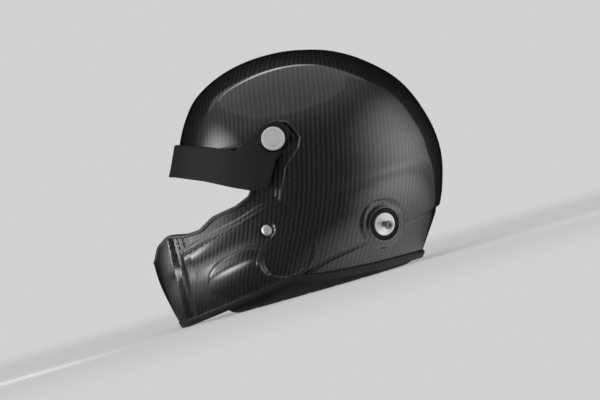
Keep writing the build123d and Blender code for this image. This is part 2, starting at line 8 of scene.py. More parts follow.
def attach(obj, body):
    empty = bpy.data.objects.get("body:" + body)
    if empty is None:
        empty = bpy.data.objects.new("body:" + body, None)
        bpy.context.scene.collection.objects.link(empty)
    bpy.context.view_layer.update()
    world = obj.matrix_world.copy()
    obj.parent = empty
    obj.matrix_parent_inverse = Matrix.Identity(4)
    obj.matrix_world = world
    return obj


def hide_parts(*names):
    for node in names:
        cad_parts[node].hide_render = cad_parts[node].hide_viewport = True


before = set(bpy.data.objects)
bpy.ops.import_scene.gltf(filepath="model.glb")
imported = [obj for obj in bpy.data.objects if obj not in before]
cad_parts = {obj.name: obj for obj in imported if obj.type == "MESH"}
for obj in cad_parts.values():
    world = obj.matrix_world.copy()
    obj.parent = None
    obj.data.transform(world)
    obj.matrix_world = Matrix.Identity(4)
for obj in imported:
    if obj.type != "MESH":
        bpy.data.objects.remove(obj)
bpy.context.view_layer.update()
print("frame loaded:", len(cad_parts), "nodes")

mm = 0.001

# the helmet's form, as the solids have it: levels from below the base to the crown, then its outlines
form = {
    "length": 0.337, "width": 0.250, "height": 0.2633, "wall": 0.0046, "waistShare": 0.4178,
    "levelShares": [   # height, front, middle, rear, half width, pinch
        (-0.0608, -0.4421, -0.0119, 0.2878, 0.352, 0.35), (0.0, -0.4688, 0.0, 0.3353, 0.388, 0.35),
        (0.0949, -0.4881, 0.0237, 0.3902, 0.436, 0.35), (0.2127, -0.503, 0.0445, 0.451, 0.472, 0.35),
        (0.3228, -0.5, 0.0593, 0.4837, 0.492, 0.33), (0.4178, -0.4748, 0.0653, 0.4985, 0.5, 0.25),
        (0.5127, -0.4273, 0.0653, 0.4961, 0.499, 0.13), (0.6077, -0.368, 0.0623, 0.4792, 0.483, 0.04),
        (0.695, -0.3323, 0.0593, 0.4534, 0.452, 0.0), (0.771, -0.3042, 0.0564, 0.4169, 0.41, 0.0),
        (0.8393, -0.2715, 0.0469, 0.365, 0.358, 0.0), (0.9039, -0.227, 0.0362, 0.2997, 0.286, 0.0),
        (0.9533, -0.1617, 0.0318, 0.2255, 0.204, 0.0), (0.9837, -0.092, 0.0258, 0.1439, 0.122, 0.0),
        (0.9973, -0.0267, 0.0237, 0.0801, 0.05, 0.0), (1.0, 0.0237, 0.0237, 0.0237, 0.0, 0.0),
    ],
}
sideSize = np.array([form["length"], form["height"]])
waist = form["waistShare"] * form["height"]
heart = np.array([0.015, 0, 0.11])   # a place well inside, which tells outwards from inwards for a trim
shellHeart = np.array([0.02, 0, 0.1])   # and for the shell


def place(share):
    return share[0] * form["length"], share[1] * form["height"]


# splits every level into a part that stays and a part that grows with the inset
def levelParts():
    share = np.array(form["levelShares"])
    size = np.array([form["height"], form["length"], form["length"], form["length"], form["width"], 1])
    height, front, middle, rear, half, pinch = (share * size).T
    front, rear = middle - front, rear - middle
    row = int(np.argmin(abs(height - waist)))
    above = height > waist + mm
    kept = np.stack([height, middle, front, rear, half, pinch], 1)
    grown = np.zeros_like(kept)
    grown[:, 2:5] = -1
    grown[above, 0] = -(height[above] - waist) / (form["height"] - waist)
    for column, values in ((2, front), (3, rear), (4, half)):
        grown[above, column] = -values[above] / values[row]
    return kept, grown


keptLevels, grownLevels = levelParts()
crownStep = len(keptLevels) - 1


# a Catmull-Rom curve through rows: place 0 is the second row, and the first and last rows only steer it
def curveAt(rows, place):
    base = np.minimum(np.floor(place).astype(int), len(rows) - 4)
    t = (place - base)[..., None]
    a, b, c, d = (rows[base + k] for k in range(4))
    return b + 0.5 * t * (c - a + t * (2 * a - 5 * b + 4 * c - d + t * (3 * b - a - 3 * c + d)))


# level values at any step between the rows: the curve is mirrored past the crown, so that it closes flat
def alongLevels(table, step):
    ghost = table[-2] * np.array([1, 1, -1, -1, -1, 1])
    rows = np.concatenate([[2 * table[0] - table[1]], table, [ghost]])
    return curveAt(rows, np.clip(step, 0, crownStep - 1e-9))


# a point of the form: two half ellipses per level, the front one pinched by the square of the cosine
def formPoint(turn, step, inset=0.0):
    turn, step, inset = np.broadcast_arrays(turn, step, inset)
    level = alongLevels(keptLevels, step) + inset[..., None] * alongLevels(grownLevels, step)
    height, middle, front, rear, half, pinch = np.moveaxis(level, -1, 0)
    along, across = np.cos(turn), np.sin(turn)
    ahead = along > 0
    x = middle - np.where(ahead, front, rear) * along
    y = half * across * np.where(ahead, 1 - pinch * along**2, 1)
    return np.stack([x, y, height], -1)


stepTable = np.linspace(0, crownStep, 3001)
heightTable = alongLevels(keptLevels, stepTable)[:, 0]
stepSlope = np.gradient(stepTable, heightTable)


def stepAt(height):
    return np.interp(height, heightTable, stepTable)


# the turn and step of the left side's point that shows at x, z from the side: the cosine gives the turn
def sideTurn(x, z, inset=0.0):
    step = stepAt(z)
    for _ in range(6):
        level = alongLevels(keptLevels, step) + inset * alongLevels(grownLevels, step)
        step = step + (z - level[..., 0]) * np.interp(level[..., 0], heightTable, stepSlope)
    middle, front, rear = level[..., 1], level[..., 2], level[..., 3]
    cosine = (middle - x) / np.where(x < middle, front, rear)
    return -np.arccos(np.clip(cosine, -1, 1)), step


cornerSteps = 6


# a corner rounded by a parabola that starts one tangent length away, at most near half way to the next corner
def roundedCorner(before, corner, after, radius, steps):
    t = np.linspace(0, 1, steps)[:, None]
    before, after = before - corner, after - corner
    lengths = np.linalg.norm(before), np.linalg.norm(after)
    before, after = before / lengths[0], after / lengths[1]
    half = math.acos(np.clip(before @ after, -1, 1)) / 2
    cut = min(radius / max(math.tan(half), 1e-3), 0.48 * min(lengths))
    return (1 - t) ** 2 * (corner + before * cut) + 2 * t * (1 - t) * corner + t**2 * (corner + after * cut)


# a closed outline, given in shares of the side view, with its corners rounded
def rounded(shares, radius):
    points = np.array(shares) * sideSize
    corners = zip(np.roll(points, 1, 0), points, np.roll(points, -1, 0))
    return np.concatenate([roundedCorner(*corner, radius, cornerSteps) for corner in corners])


# distance to an outline, positive inside: the nearest point of every side, and a count of crossings
def insideBy(x, z, outline):
    shape = np.shape(x)
    point = np.stack([np.ravel(x), np.ravel(z)], -1)
    start, end = outline, np.roll(outline, -1, 0)
    run = end - start
    best = np.full(len(point), 1e9)
    crossings = np.zeros(len(point), int)
    for a, b, r in zip(start, end, run):
        t = np.clip((point - a) @ r / max(r @ r, 1e-12), 0, 1)
        best = np.minimum(best, np.linalg.norm(point - a - t[:, None] * r, axis=1))
        spans = (a[1] > point[:, 1]) != (b[1] > point[:, 1])
        reach = a[0] + (point[:, 1] - a[1]) * r[0] / (r[1] if abs(r[1]) > 1e-12 else 1e-12)
        crossings += spans & (point[:, 0] < reach)
    return np.where(crossings % 2 == 1, best, -best).reshape(shape)


def unit(rows):
    return rows / np.linalg.norm(rows, axis=-1, keepdims=True)


def smooth(value, start, end):
    t = np.clip((value - start) / (end - start), 0, 1)
    return t * t * (3 - 2 * t)


# the length along a line up to each of its points
def runLengths(line):
    return np.concatenate([[0], np.cumsum(np.linalg.norm(np.diff(line, axis=0), axis=1))])


# points at even lengths along a line: so many of them, or one for each spacing
def evenPoints(line, count=None, spacing=None, endpoint=False):
    length = runLengths(line)
    even = np.linspace(0, length[-1], count or int(length[-1] / spacing), endpoint=endpoint)
    return np.stack([np.interp(even, length, column) for column in line.T], -1)


# directions turned to point away from a place inside the helmet
def facingOut(points, directions, middle=heart):
    return directions * np.sign(((points - middle) * directions).sum(-1, keepdims=True))


outlines = {
    "baseEdge": rounded([
        (-0.682, 0.0), (-0.445, 0.0), (-0.264, 0.03), (-0.08, 0.063), (0.006, 0.036), (0.178, 0.017),
        (0.356, 0.009), (0.682, 0.023), (0.682, -0.228), (-0.682, -0.228),
    ], 7 * mm),
    "eyeport": rounded([
        (-0.682, 0.289), (-0.501, 0.289), (-0.475, 0.349), (-0.433, 0.382), (-0.38, 0.365),
        (-0.326, 0.368), (-0.273, 0.406), (-0.19, 0.422), (-0.139, 0.448), (-0.104, 0.517), (-0.08, 0.585),
        (-0.092, 0.638), (-0.136, 0.661), (-0.237, 0.676), (-0.35, 0.695), (-0.682, 0.706),
    ], 7 * mm),
    "visorSeat": rounded([
        (-0.409, 0.292), (-0.309, 0.324), (-0.193, 0.354), (-0.112, 0.385), (-0.05, 0.404),
        (-0.037, 0.444), (-0.007, 0.528), (0.05, 0.591), (0.064, 0.627), (0.039, 0.699), (0.0, 0.714),
        (-0.042, 0.697), (-0.119, 0.646), (-0.169, 0.642), (-0.223, 0.676), (-0.32, 0.725),
        (-0.682, 0.874), (-0.682, 0.532), (-0.409, 0.494),
    ], 5 * mm),
    "lowerPanel": rounded([
        (-0.053, 0.084), (0.053, 0.122), (0.148, 0.139), (0.249, 0.152), (0.344, 0.179), (0.439, 0.199),
        (0.682, 0.228), (0.682, -0.228), (-0.053, -0.228),
    ], 7 * mm),
    "peak": rounded([
        (-0.682, 0.839), (-0.324, 0.742), (-0.219, 0.691), (-0.148, 0.649), (-0.119, 0.659),
        (-0.039, 0.714), (0.009, 0.722), (0.036, 0.687), (0.039, 0.646), (0.019, 0.619), (-0.03, 0.559),
        (-0.073, 0.465), (-0.126, 0.469), (-0.186, 0.505), (-0.274, 0.566), (-0.369, 0.619),
        (-0.682, 0.722),
    ], 4 * mm),
}
baseLine = outlines["baseEdge"][cornerSteps:7 * cornerSteps]   # from front to rear, without the far corners
print("form ready, waist", round(waist, 4))

mergeWithin, sharpFrom = 1e-6, math.radians(38)


# joins corners that lie on each other, as at a pole, and turns all faces outwards
def merge(mesh):
    work = bmesh.new()
    work.from_mesh(mesh)
    bmesh.ops.remove_doubles(work, verts=work.verts, dist=mergeWithin)
    bmesh.ops.recalc_face_normals(work, faces=work.faces)
    work.to_mesh(mesh)
    work.free()
    mesh.set_sharp_from_angle(angle=sharpFrom)


# gives a mesh a layer of surface distances in metres, a pair for each corner
def addSurfaceMap(mesh, surfaceMap):
    loops = np.zeros(len(mesh.loops), int)
    mesh.loops.foreach_get("vertex_index", loops)
    layer = mesh.uv_layers.new(name="surface")
    layer.data.foreach_set("uv", np.asarray(surfaceMap, np.float32).reshape(-1, 2)[loops].ravel())


# puts arrays of corners and faces into a piece that rides on a body and stands for a node
def addPiece(name, corners, faces, body, slot, material, node, fill=None, surfaceMap=None, merged=True):
    mesh = bpy.data.meshes.new(name)
    points = np.asarray(corners, float).reshape(-1, 3).tolist()
    mesh.from_pydata(points, [], [list(map(int, face)) for face in faces])
    mesh.update()
    if surfaceMap is not None:
        addSurfaceMap(mesh, surfaceMap)
    mesh.polygons.foreach_set("use_smooth", np.ones(len(mesh.polygons), bool))
    piece = bpy.data.objects.new(name, mesh)
    bpy.context.scene.collection.objects.link(piece)
    mesh.materials.append(material)
    if merged:
        merge(mesh)
    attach(piece, body)
    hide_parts(node)
    return piece


# the quads of a grid of points, rows by columns, closed across its columns or its rows on request
def gridFaces(rows, columns, roundColumns=False, roundRows=False):
    i = np.arange(rows if roundRows else rows - 1)[:, None]
    j = np.arange(columns if roundColumns else columns - 1)[None, :]
    down, right = (i + 1) % rows, (j + 1) % columns
    quads = [i * columns + j, i * columns + right, down * columns + right, down * columns + j]
    return np.stack(np.broadcast_arrays(*quads), -1).reshape(-1, 4)


# the two end faces of an open run of rings
def endCaps(rings, corners):
    last = (rings - 1) * corners
    return [list(range(corners))[::-1], list(range(last, last + corners))]


# a profile of (radius, height) turned about an axis at a place; both ends close on the axis or on each other.
# what a piece is given as its finish is its body, slot, material and node
def lathe(name, profile, origin, axis, columns, closed, *finish):
    axis = Vector(axis).normalized()
    across = axis.orthogonal().normalized()
    other = axis.cross(across)
    angle = np.linspace(0, 2 * np.pi, columns, endpoint=False)
    ring = np.cos(angle)[:, None] * np.array(across) + np.sin(angle)[:, None] * np.array(other)
    points = np.array(origin) + profile[:, 0, None, None] * ring + profile[:, 1, None, None] * np.array(axis)
    return addPiece(name, points, gridFaces(len(profile), columns, True, closed), *finish)


# a section of (out, up) offsets carried along a path whose own out and up directions are given
def carried(name, path, out, up, section, closedPath, *finish):
    points = path[:, None] + section[None, :, :1] * out[:, None] + section[None, :, 1:] * up[:, None]
    faces = gridFaces(len(path), len(section), True, closedPath).tolist()
    if not closedPath:
        faces += endCaps(len(path), len(section))
    return addPiece(name, points, faces, *finish)


# a shader socket: sums, products and comparisons of sockets and numbers add Math nodes
class Wire:
    def __init__(self, paint, socket):
        self.paint, self.socket = paint, socket

    def __add__(self, other):
        return self.paint.calc("ADD", self, other)

    def __sub__(self, other):
        return self.paint.calc("SUBTRACT", self, other)

    def __rsub__(self, other):
        return self.paint.calc("SUBTRACT", other, self)

    def __mul__(self, other):
        return self.paint.calc("MULTIPLY", self, other)

    def __truediv__(self, other):
        return self.paint.calc("DIVIDE", self, other)

    def __lt__(self, other):
        return self.paint.calc("LESS_THAN", self, other)

    def __mod__(self, other):
        return self.paint.calc("FLOORED_MODULO", self, other)

    def __abs__(self):
        return self.paint.calc("ABSOLUTE", self)

    __radd__, __rmul__ = __add__, __mul__

    def floor(self):
        return self.paint.calc("FLOOR", self)

    def fract(self):
        return self.paint.calc("FRACT", self)

    def wave(self):
        return self.paint.calc("COSINE", self)


# one material: node() adds any node, its settings first and then its inputs
class Paint:
    def __init__(self, name, **fixed):
        self.material = bpy.data.materials.new(name)
        self.material.use_nodes = True
        self.tree = self.material.node_tree
        self.shader = self.tree.nodes["Principled BSDF"]
        self.wear(**fixed)

    def feed(self, socket, value):
        if isinstance(value, Wire):
            self.tree.links.new(value.socket, socket)
        elif hasattr(value, "__len__") and len(value) == 3 and socket.type == "RGBA":
            socket.default_value = (*value, 1)
        else:
            socket.default_value = value

    def node(self, kind, settings=None, inputs=None, output=0):
        node = self.tree.nodes.new("ShaderNode" + kind)
        for name, value in (settings or {}).items():
            setattr(node, name, value)
        for name, value in (inputs or {}).items():
            self.feed(node.inputs[name], value)
        return Wire(self, node.outputs[output])

    def calc(self, operation, *values):
        return self.node("Math", {"operation": operation}, dict(enumerate(values)))

    def mix(self, factor, first, second):
        return self.node("Mix", {"data_type": "RGBA"}, {0: factor, 6: first, 7: second}, 2)

    def at(self, layer=None):
        if layer:
            return self.node("UVMap", {"uv_map": layer})
        return self.node("TexCoord", output="Object")

    def parts(self, vector):
        split = self.node("SeparateXYZ", inputs={0: vector})
        return split, Wire(self, split.socket.node.outputs[1]), Wire(self, split.socket.node.outputs[2])

    def noise(self, vector, scale, detail=2.0, roughness=0.5):
        inputs = {"Vector": vector, "Scale": scale, "Detail": detail, "Roughness": roughness}
        return self.node("TexNoise", inputs=inputs)

    def stretched(self, vector, scales):
        return self.node("VectorMath", {"operation": "MULTIPLY"}, {0: vector, 1: scales})

    def apart(self, place):
        return self.node("VectorMath", {"operation": "DISTANCE"}, {0: self.at(), 1: place}, "Value")

    def eased(self, value, start, end, first, last):
        ends = {"From Min": start, "From Max": end, "To Min": first, "To Max": last}
        return self.node("MapRange", {"interpolation_type": "SMOOTHSTEP"}, {"Value": value, **ends})

    def wear(self, **inputs):
        for name, value in inputs.items():
            self.feed(self.shader.inputs[name.replace("_", " ")], value)

    # what every finish ends with: a tone between two colours, a roughness and a bump
    def finished(self, tone, colours, rough, height, depth, strength, **inputs):
        self.wear(Base_Color=self.mix(tone, *colours), Roughness=rough, **inputs)
        bump = self.node("Bump", inputs={"Height": height, "Distance": depth, "Strength": strength})
        self.wear(Normal=bump)
        return self.material


carbon = {
    "towWidth": 1.87 * mm, "lean": math.radians(16), "crown": 0.14 * mm,
    "colours": ((0.004, 0.004, 0.0045), (0.052, 0.052, 0.055)),   # between the tows, and on top of them; warp tops lighter than weft tops, and tow crowns lighter than tow edges, are painted sheen and shade
}


# woven carbon under clear coat: two-over two-under twill whose ribs run near upright. Its light and dark are
# painted sheen and shade: warp tops lighter than weft tops, and each tow lighter at its crown than at its
# edges
def carbonPaint():
    paint = Paint("carbonTwill", Coat_Weight=1.0, Coat_Roughness=0.035, Coat_IOR=1.6, Specular_IOR_Level=0.3)
    across, along, _ = paint.parts(paint.at("surface"))
    c, s, tow = math.cos(carbon["lean"]), math.sin(carbon["lean"]), math.sqrt(2) * carbon["towWidth"]
    ribAcross, ribAlong = across * c - along * s, across * s + along * c
    warpAt, weftAt = (ribAlong + ribAcross) / tow, (ribAlong - ribAcross) / tow
    warpTop = ((warpAt.floor() - weftAt.floor()) % 4) < 2
    warpRound = abs(warpAt.fract() - 0.5) * 2
    weftRound = abs(weftAt.fract() - 0.5) * 2
    edge = warpTop * warpRound + (1 - warpTop) * weftRound
    crown = 1 - edge * edge
    tows = paint.node("CombineXYZ", inputs={"X": warpAt.floor(), "Y": weftAt.floor()})
    each = paint.node("TexWhiteNoise", {"noise_dimensions": "2D"}, {"Vector": tows}, "Value")
    fibres = paint.noise(paint.stretched(paint.at("surface"), (900, 900, 1)), 1.0, 3.0)
    drift = paint.noise(paint.at("surface"), 38.0, 2.0)
    # painted sheen and shade: warp tops lighter than weft tops, and each tow lighter along its crown and
    # darker at its edges
    wovenSheen = (warpTop * 0.86 + 0.06) * (0.1 + crown * 0.9)
    tone = wovenSheen * (0.6 + drift * 0.4) * (0.5 + fibres * 0.3 + each * 0.6)
    rough = 0.46 - warpTop * 0.1 + fibres * 0.08
    return paint.finished(tone, carbon["colours"], rough, crown, carbon["crown"], 0.6, Metallic=0.6)


# moulded plastic or rubber: a fine grain over a slow drift of tone
def mouldedPaint(name, colour, lighter, rough, grain=2600.0, depth=0.06 * mm, **fixed):
    paint = Paint(name, **fixed)
    fine = paint.noise(paint.at(), grain, 3.0)
    slow = paint.noise(paint.at(), 45.0, 3.0)
    rough = rough - 0.08 + slow * 0.16
    return paint.finished(slow * 0.7 + fine * 0.3, (colour, lighter), rough, fine, depth, 0.5)


# turned metal: rings by the distance to a place on its axis
def turnedPaint(name, colour, shade, rough, pitch, centre, metallic=1.0):
    paint = Paint(name, Metallic=metallic)
    rings = (paint.apart(centre) * (2 * math.pi / pitch)).wave() * 0.5 + 0.5
    scuffs = paint.noise(paint.at(), 420.0, 4.0, 0.6)
    rough = rough + rings * 0.05 + scuffs * 0.12
    return paint.finished(rings * 0.35 + scuffs * 0.65, (colour, shade), rough, rings, 0.02 * mm, 0.4)


# cloth by its thread width: a plain weave on object coordinates with a soft pile
def clothPaint(name, colour, lighter, thread, depth=0.25 * mm, rough=0.9):
    paint = Paint(name)
    x, y, z = paint.parts(paint.at())
    turn = 2 * math.pi / thread
    knit = (((x + z) * turn).wave() * ((y + z * 0.5) * turn).wave()) * 0.5 + 0.5
    pile = paint.noise(paint.at(), 1500.0, 3.0)
    slow = paint.noise(paint.at(), 30.0, 2.0)
    tone = knit * 0.5 + pile * 0.25 + slow * 0.25
    return paint.finished(tone, (colour, lighter), rough, knit * 0.7 + pile * 0.3, depth, 0.7)


# moulded bead foam: packed cells with dark seams
def beadFoamPaint(name, colour, lighter, bead=3.4 * mm):
    paint = Paint(name)
    where = {"Vector": paint.at(), "Scale": 1 / bead}
    cells = paint.node("TexVoronoi", {"feature": "DISTANCE_TO_EDGE"}, where, "Distance")
    shade, _, _ = paint.parts(paint.node("TexVoronoi", inputs=where, output="Color"))
    seam = paint.node("MapRange", inputs={"Value": cells, "From Max": 0.12})
    rough = 0.85 - seam * 0.15
    return paint.finished(seam * (0.6 + shade * 0.4), (colour, lighter), rough, seam, 0.2 * mm, 0.6)


paints = {
    "carbon": carbonPaint(),
    "peak": mouldedPaint("matteBlackMoulding", (0.008, 0.008, 0.009), (0.015, 0.015, 0.016), 0.62, 5200.0,
                         Specular_IOR_Level=0.22),
    "baseTrim": mouldedPaint("greyRubber", (0.013, 0.013, 0.014), (0.022, 0.022, 0.023), 0.56, 2200.0,
                             Specular_IOR_Level=0.3),
    "eyeTrim": mouldedPaint("blackRubber", (0.012, 0.012, 0.012), (0.022, 0.022, 0.022), 0.42, 3000.0),
    "blackRing": mouldedPaint("blackAnodised", (0.004, 0.004, 0.004), (0.009, 0.009, 0.009), 0.34, 5200.0,
                              0.02 * mm, Specular_IOR_Level=0.14),
    "hardPlastic": mouldedPaint("hardPlastic", (0.016, 0.016, 0.017), (0.028, 0.028, 0.03), 0.5, 3600.0),
    "boom": mouldedPaint("boomSheath", (0.01, 0.01, 0.01), (0.02, 0.02, 0.02), 0.55, 2600.0),
    "steel": mouldedPaint("platedSteel", (0.42, 0.42, 0.43), (0.6, 0.6, 0.6), 0.32, 900.0, 0.01 * mm,
                          Metallic=1.0),
    "brass": mouldedPaint("brass", (0.62, 0.44, 0.16), (0.78, 0.6, 0.28), 0.32, 900.0, 0.01 * mm,
                          Metallic=1.0),
    "nylon": mouldedPaint("nylon", (0.5, 0.49, 0.46), (0.62, 0.61, 0.58), 0.5, 2600.0),
    "beadFoam": beadFoamPaint("beadFoam", (0.012, 0.012, 0.013), (0.035, 0.035, 0.037)),
    "liner": clothPaint("linerKnit", (0.012, 0.012, 0.014), (0.04, 0.04, 0.045), 1.4 * mm),
    "pad": clothPaint("padKnit", (0.012, 0.012, 0.013), (0.035, 0.035, 0.038), 1.1 * mm),
    "roll": clothPaint("rollCloth", (0.008, 0.008, 0.009), (0.022, 0.022, 0.024), 0.8 * mm, 0.15 * mm, 0.75),
    "leather": mouldedPaint("softLeather", (0.012, 0.011, 0.011), (0.028, 0.026, 0.026), 0.45, 900.0,
                            0.15 * mm),
    "webbing": clothPaint("webbing", (0.01, 0.01, 0.011), (0.035, 0.035, 0.038), 1.6 * mm, 0.3 * mm, 0.7),
    "windscreen": clothPaint("openFoam", (0.008, 0.008, 0.008), (0.03, 0.03, 0.03), 0.7 * mm, 0.4 * mm, 0.98),
}
print("materials ready:", len(paints))

# the photograph's view: 1.1 mm to a pixel at the middle plane, seen level from the left, and rolled
camera = {
    "distance": 5.0, "middle": (0.0041, 0.100), "seenWidth": 0.66, "roll": math.radians(16), "sensor": 36.0,
}


def addCamera():
    data = bpy.data.cameras.new("camera")
    data.sensor_width = camera["sensor"]
    data.lens = camera["sensor"] * camera["distance"] / camera["seenWidth"]
    data.clip_end = 50
    shown = bpy.data.objects.new("camera", data)
    c, s = math.cos(camera["roll"]), math.sin(camera["roll"])
    x, z = camera["middle"]
    shown.matrix_world = Matrix(((c, s, 0, x), (0, 0, -1, -camera["distance"]), (-s, c, 0, z), (0, 0, 0, 1)))
    bpy.context.scene.collection.objects.link(shown)
    bpy.context.scene.camera = shown


lighting = {
    "level": 0.44, "background": 0.64, "floor": 0.62, "floorReach": 9, "fade": (0.45, 1.7),
    "boxes": {   # plain soft light that reflections leave out: place, aim, width, height, watts
        "sideBox": ((0.15, -2.6, 2.0), (0, 0, 0.15), 2.6, 1.2, 30),
        "topBox": ((0.1, -0.35, 2.7), (0.05, 0, 0.2), 3.0, 1.2, 12),
    },
    "topGlow": {   # ovals within ovals, narrower towards the middle, so that their reflection fades outwards
        "at": (-0.2, 1.1, 2.78), "aim": (0, 0, 0.2), "width": 3.4, "height": 0.16, "watts": 3,
        "sizes": (1.0, 0.85, 0.7, 0.55, 0.4), "apart": 0.01,
    },
    "sweep": {
        "around": (-205, 25), "radii": (0.1, 1.6), "height": 2.4, "lift": 0.004, "columns": 97, "rows": 41,
        "dim": 0.12, "rise": (1.0, 2.4), "top": 0.4, "most": 20.0,
    },
    "spots": (   # soft bright places on the sweep: place, reach, brightness
        ((0.33, -0.17, 0), 0.28, 1.9), ((0.75, -0.3, 0), 0.55, 1.4), ((1.5, -0.3, 0.2), 1.4, 2.1),
        ((0.09, -0.12, 0), 0.16, 0.9), ((-0.42, -0.15, 0), 0.28, 2.2), ((-0.32, -0.2, 0), 0.13, 8.0),
        ((-1.5, -0.25, 0.1), 0.9, 2.6), ((-1.27, -0.21, 0), 0.35, 8.0), ((-1.6, 0, 0.22), 0.35, 10.0),
        ((-1.5, -0.3, 1.1), 0.8, 4.5),
    ),
    "flags": {   # dark cards that only reflections show, by their corners
        "farCard": ((-3.2, 1.3, 0), (3.2, 1.3, 0), (3.2, 1.3, 2.78), (-3.2, 1.3, 2.78)),
        "farFloor": ((-3.2, 1.3, 0.003), (-0.13, 0.0, 0.003), (0.15, 0.0, 0.003), (3.2, 1.3, 0.003)),
    },
}


def addLamp(name, outline, spot, aim, width, height, watts):
    data = bpy.data.lights.new(name, "AREA")
    data.shape, data.size, data.size_y, data.energy = outline, width, height, watts
    lamp = bpy.data.objects.new(name, data)
    lamp.location = spot
    lamp.rotation_euler = (Vector(aim) - Vector(spot)).to_track_quat("-Z", "Y").to_euler()
    bpy.context.scene.collection.objects.link(lamp)
    return lamp


# a mesh that is no part of the helmet
def addStage(name, corners, material, faces=((0, 1, 2, 3),)):
    mesh = bpy.data.meshes.new(name)
    mesh.from_pydata(corners, [], faces)
    mesh.materials.append(material)
    thing = bpy.data.objects.new(name, mesh)
    bpy.context.scene.collection.objects.link(thing)
    return thing


# a card that only reflections show
def addCard(*stage):
    card = addStage(*stage)
    card.visible_camera = card.visible_diffuse = card.visible_shadow = card.visible_transmission = False


# one pale background for the eye and for reflections, and a plain level of light for everything else
def addWorld():
    world = bpy.data.worlds.new("world")
    world.use_nodes = True
    bpy.context.scene.world = world
    nodes, links = world.node_tree.nodes, world.node_tree.links
    path, pick = nodes.new("ShaderNodeLightPath"), nodes.new("ShaderNodeMix")
    seen = path.outputs["Is Camera Ray"]
    for ray in ("Is Glossy Ray", "Is Transmission Ray"):
        either = nodes.new("ShaderNodeMath")
        either.operation = "MAXIMUM"
        links.new(seen, either.inputs[0])
        links.new(path.outputs[ray], either.inputs[1])
        seen = either.outputs[0]
    pick.data_type = "RGBA"
    links.new(seen, pick.inputs[0])
    for socket, key in ((6, "level"), (7, "background")):
        pick.inputs[socket].default_value = (lighting[key],) * 3 + (1,)
    links.new(pick.outputs[2], nodes["Background"].inputs["Color"])


def addLighting():
    addWorld()
    for name, box in lighting["boxes"].items():
        addLamp(name, "RECTANGLE", *box).visible_glossy = False
    glow = lighting["topGlow"]
    ahead = (Vector(glow["aim"]) - Vector(glow["at"])).normalized() * glow["apart"]
    for turn, size in enumerate(glow["sizes"]):
        share = size**3 / sum(other**3 for other in glow["sizes"])
        addLamp("topGlow" + str(size), "ELLIPSE", Vector(glow["at"]) + ahead * turn, glow["aim"],
                glow["width"] * size**2, glow["height"] * size, glow["watts"] * share)
    card = Paint("darkCard", Base_Color=(0.004, 0.004, 0.004), Roughness=1.0, Specular_IOR_Level=0.0)
    for name, corners in lighting["flags"].items():
        addCard(name, corners, card.material)
    addSweep()


# a floor ring and a round wall that only reflections show, dim with soft bright spots: each point lies at an
# angle round the helmet, and a share of the way outwards along the floor and then up the wall
def addSweep():
    sweep = lighting["sweep"]
    near, far = sweep["radii"]
    turn = np.radians(np.linspace(*sweep["around"], sweep["columns"]))[None, :]
    share = np.linspace(0, 2, sweep["rows"])[:, None]
    radius = near + (far - near) * np.minimum(share, 1) + turn * 0
    height = sweep["lift"] + sweep["height"] * np.maximum(share - 1, 0) + turn * 0
    corners = np.stack([radius * np.cos(turn), radius * np.sin(turn), height], axis=-1)
    paint = Paint("softSweep", Base_Color=(0, 0, 0), Roughness=1.0, Specular_IOR_Level=0.0,
                  Emission_Strength=sweep["most"])
    _, _, up = paint.parts(paint.at())
    bright = paint.eased(up, *sweep["rise"], sweep["dim"], sweep["top"])
    for middle, reach, strength in lighting["spots"]:
        bright = bright + paint.eased(paint.apart(middle), 0.0, reach, strength, 0.0)
    paint.wear(Emission_Color=paint.mix(bright / sweep["most"], (0, 0, 0), (1, 1, 1)))
    addCard("sweep", corners.reshape(-1, 3), paint.material, gridFaces(len(share), turn.size).tolist())


# the floor: pale and lit round the helmet, and fading to the background's own colour further off
def addFloor():
    paint = Paint("paleFloor", Base_Color=(lighting["floor"],) * 3, Roughness=0.9, Specular_IOR_Level=0.1)
    away = paint.node("VectorMath", {"operation": "LENGTH"}, {0: paint.at()}, "Value")
    fade = paint.eased(away, *lighting["fade"], 0.5, 1.0)
    rays = paint.node("LightPath").socket.node.outputs
    seen = paint.calc("MAXIMUM", Wire(paint, rays["Is Camera Ray"]), Wire(paint, rays["Is Glossy Ray"]))
    glow = paint.node("Emission", inputs={"Color": (lighting["background"],) * 3})
    both = paint.node("MixShader", inputs={0: fade * seen, 1: Wire(paint, paint.shader.outputs[0]), 2: glow})
    paint.feed(paint.tree.nodes["Material Output"].inputs["Surface"], both)
    reach = lighting["floorReach"]
    corners = [(-reach, -reach, 0), (reach, -reach, 0), (reach, reach, 0), (-reach, reach, 0)]
    addStage("floor", corners, paint.material)


addCamera()
addLighting()
addFloor()
bpy.context.scene.view_settings.view_transform = "Standard"
print("camera, lamps and floor ready")

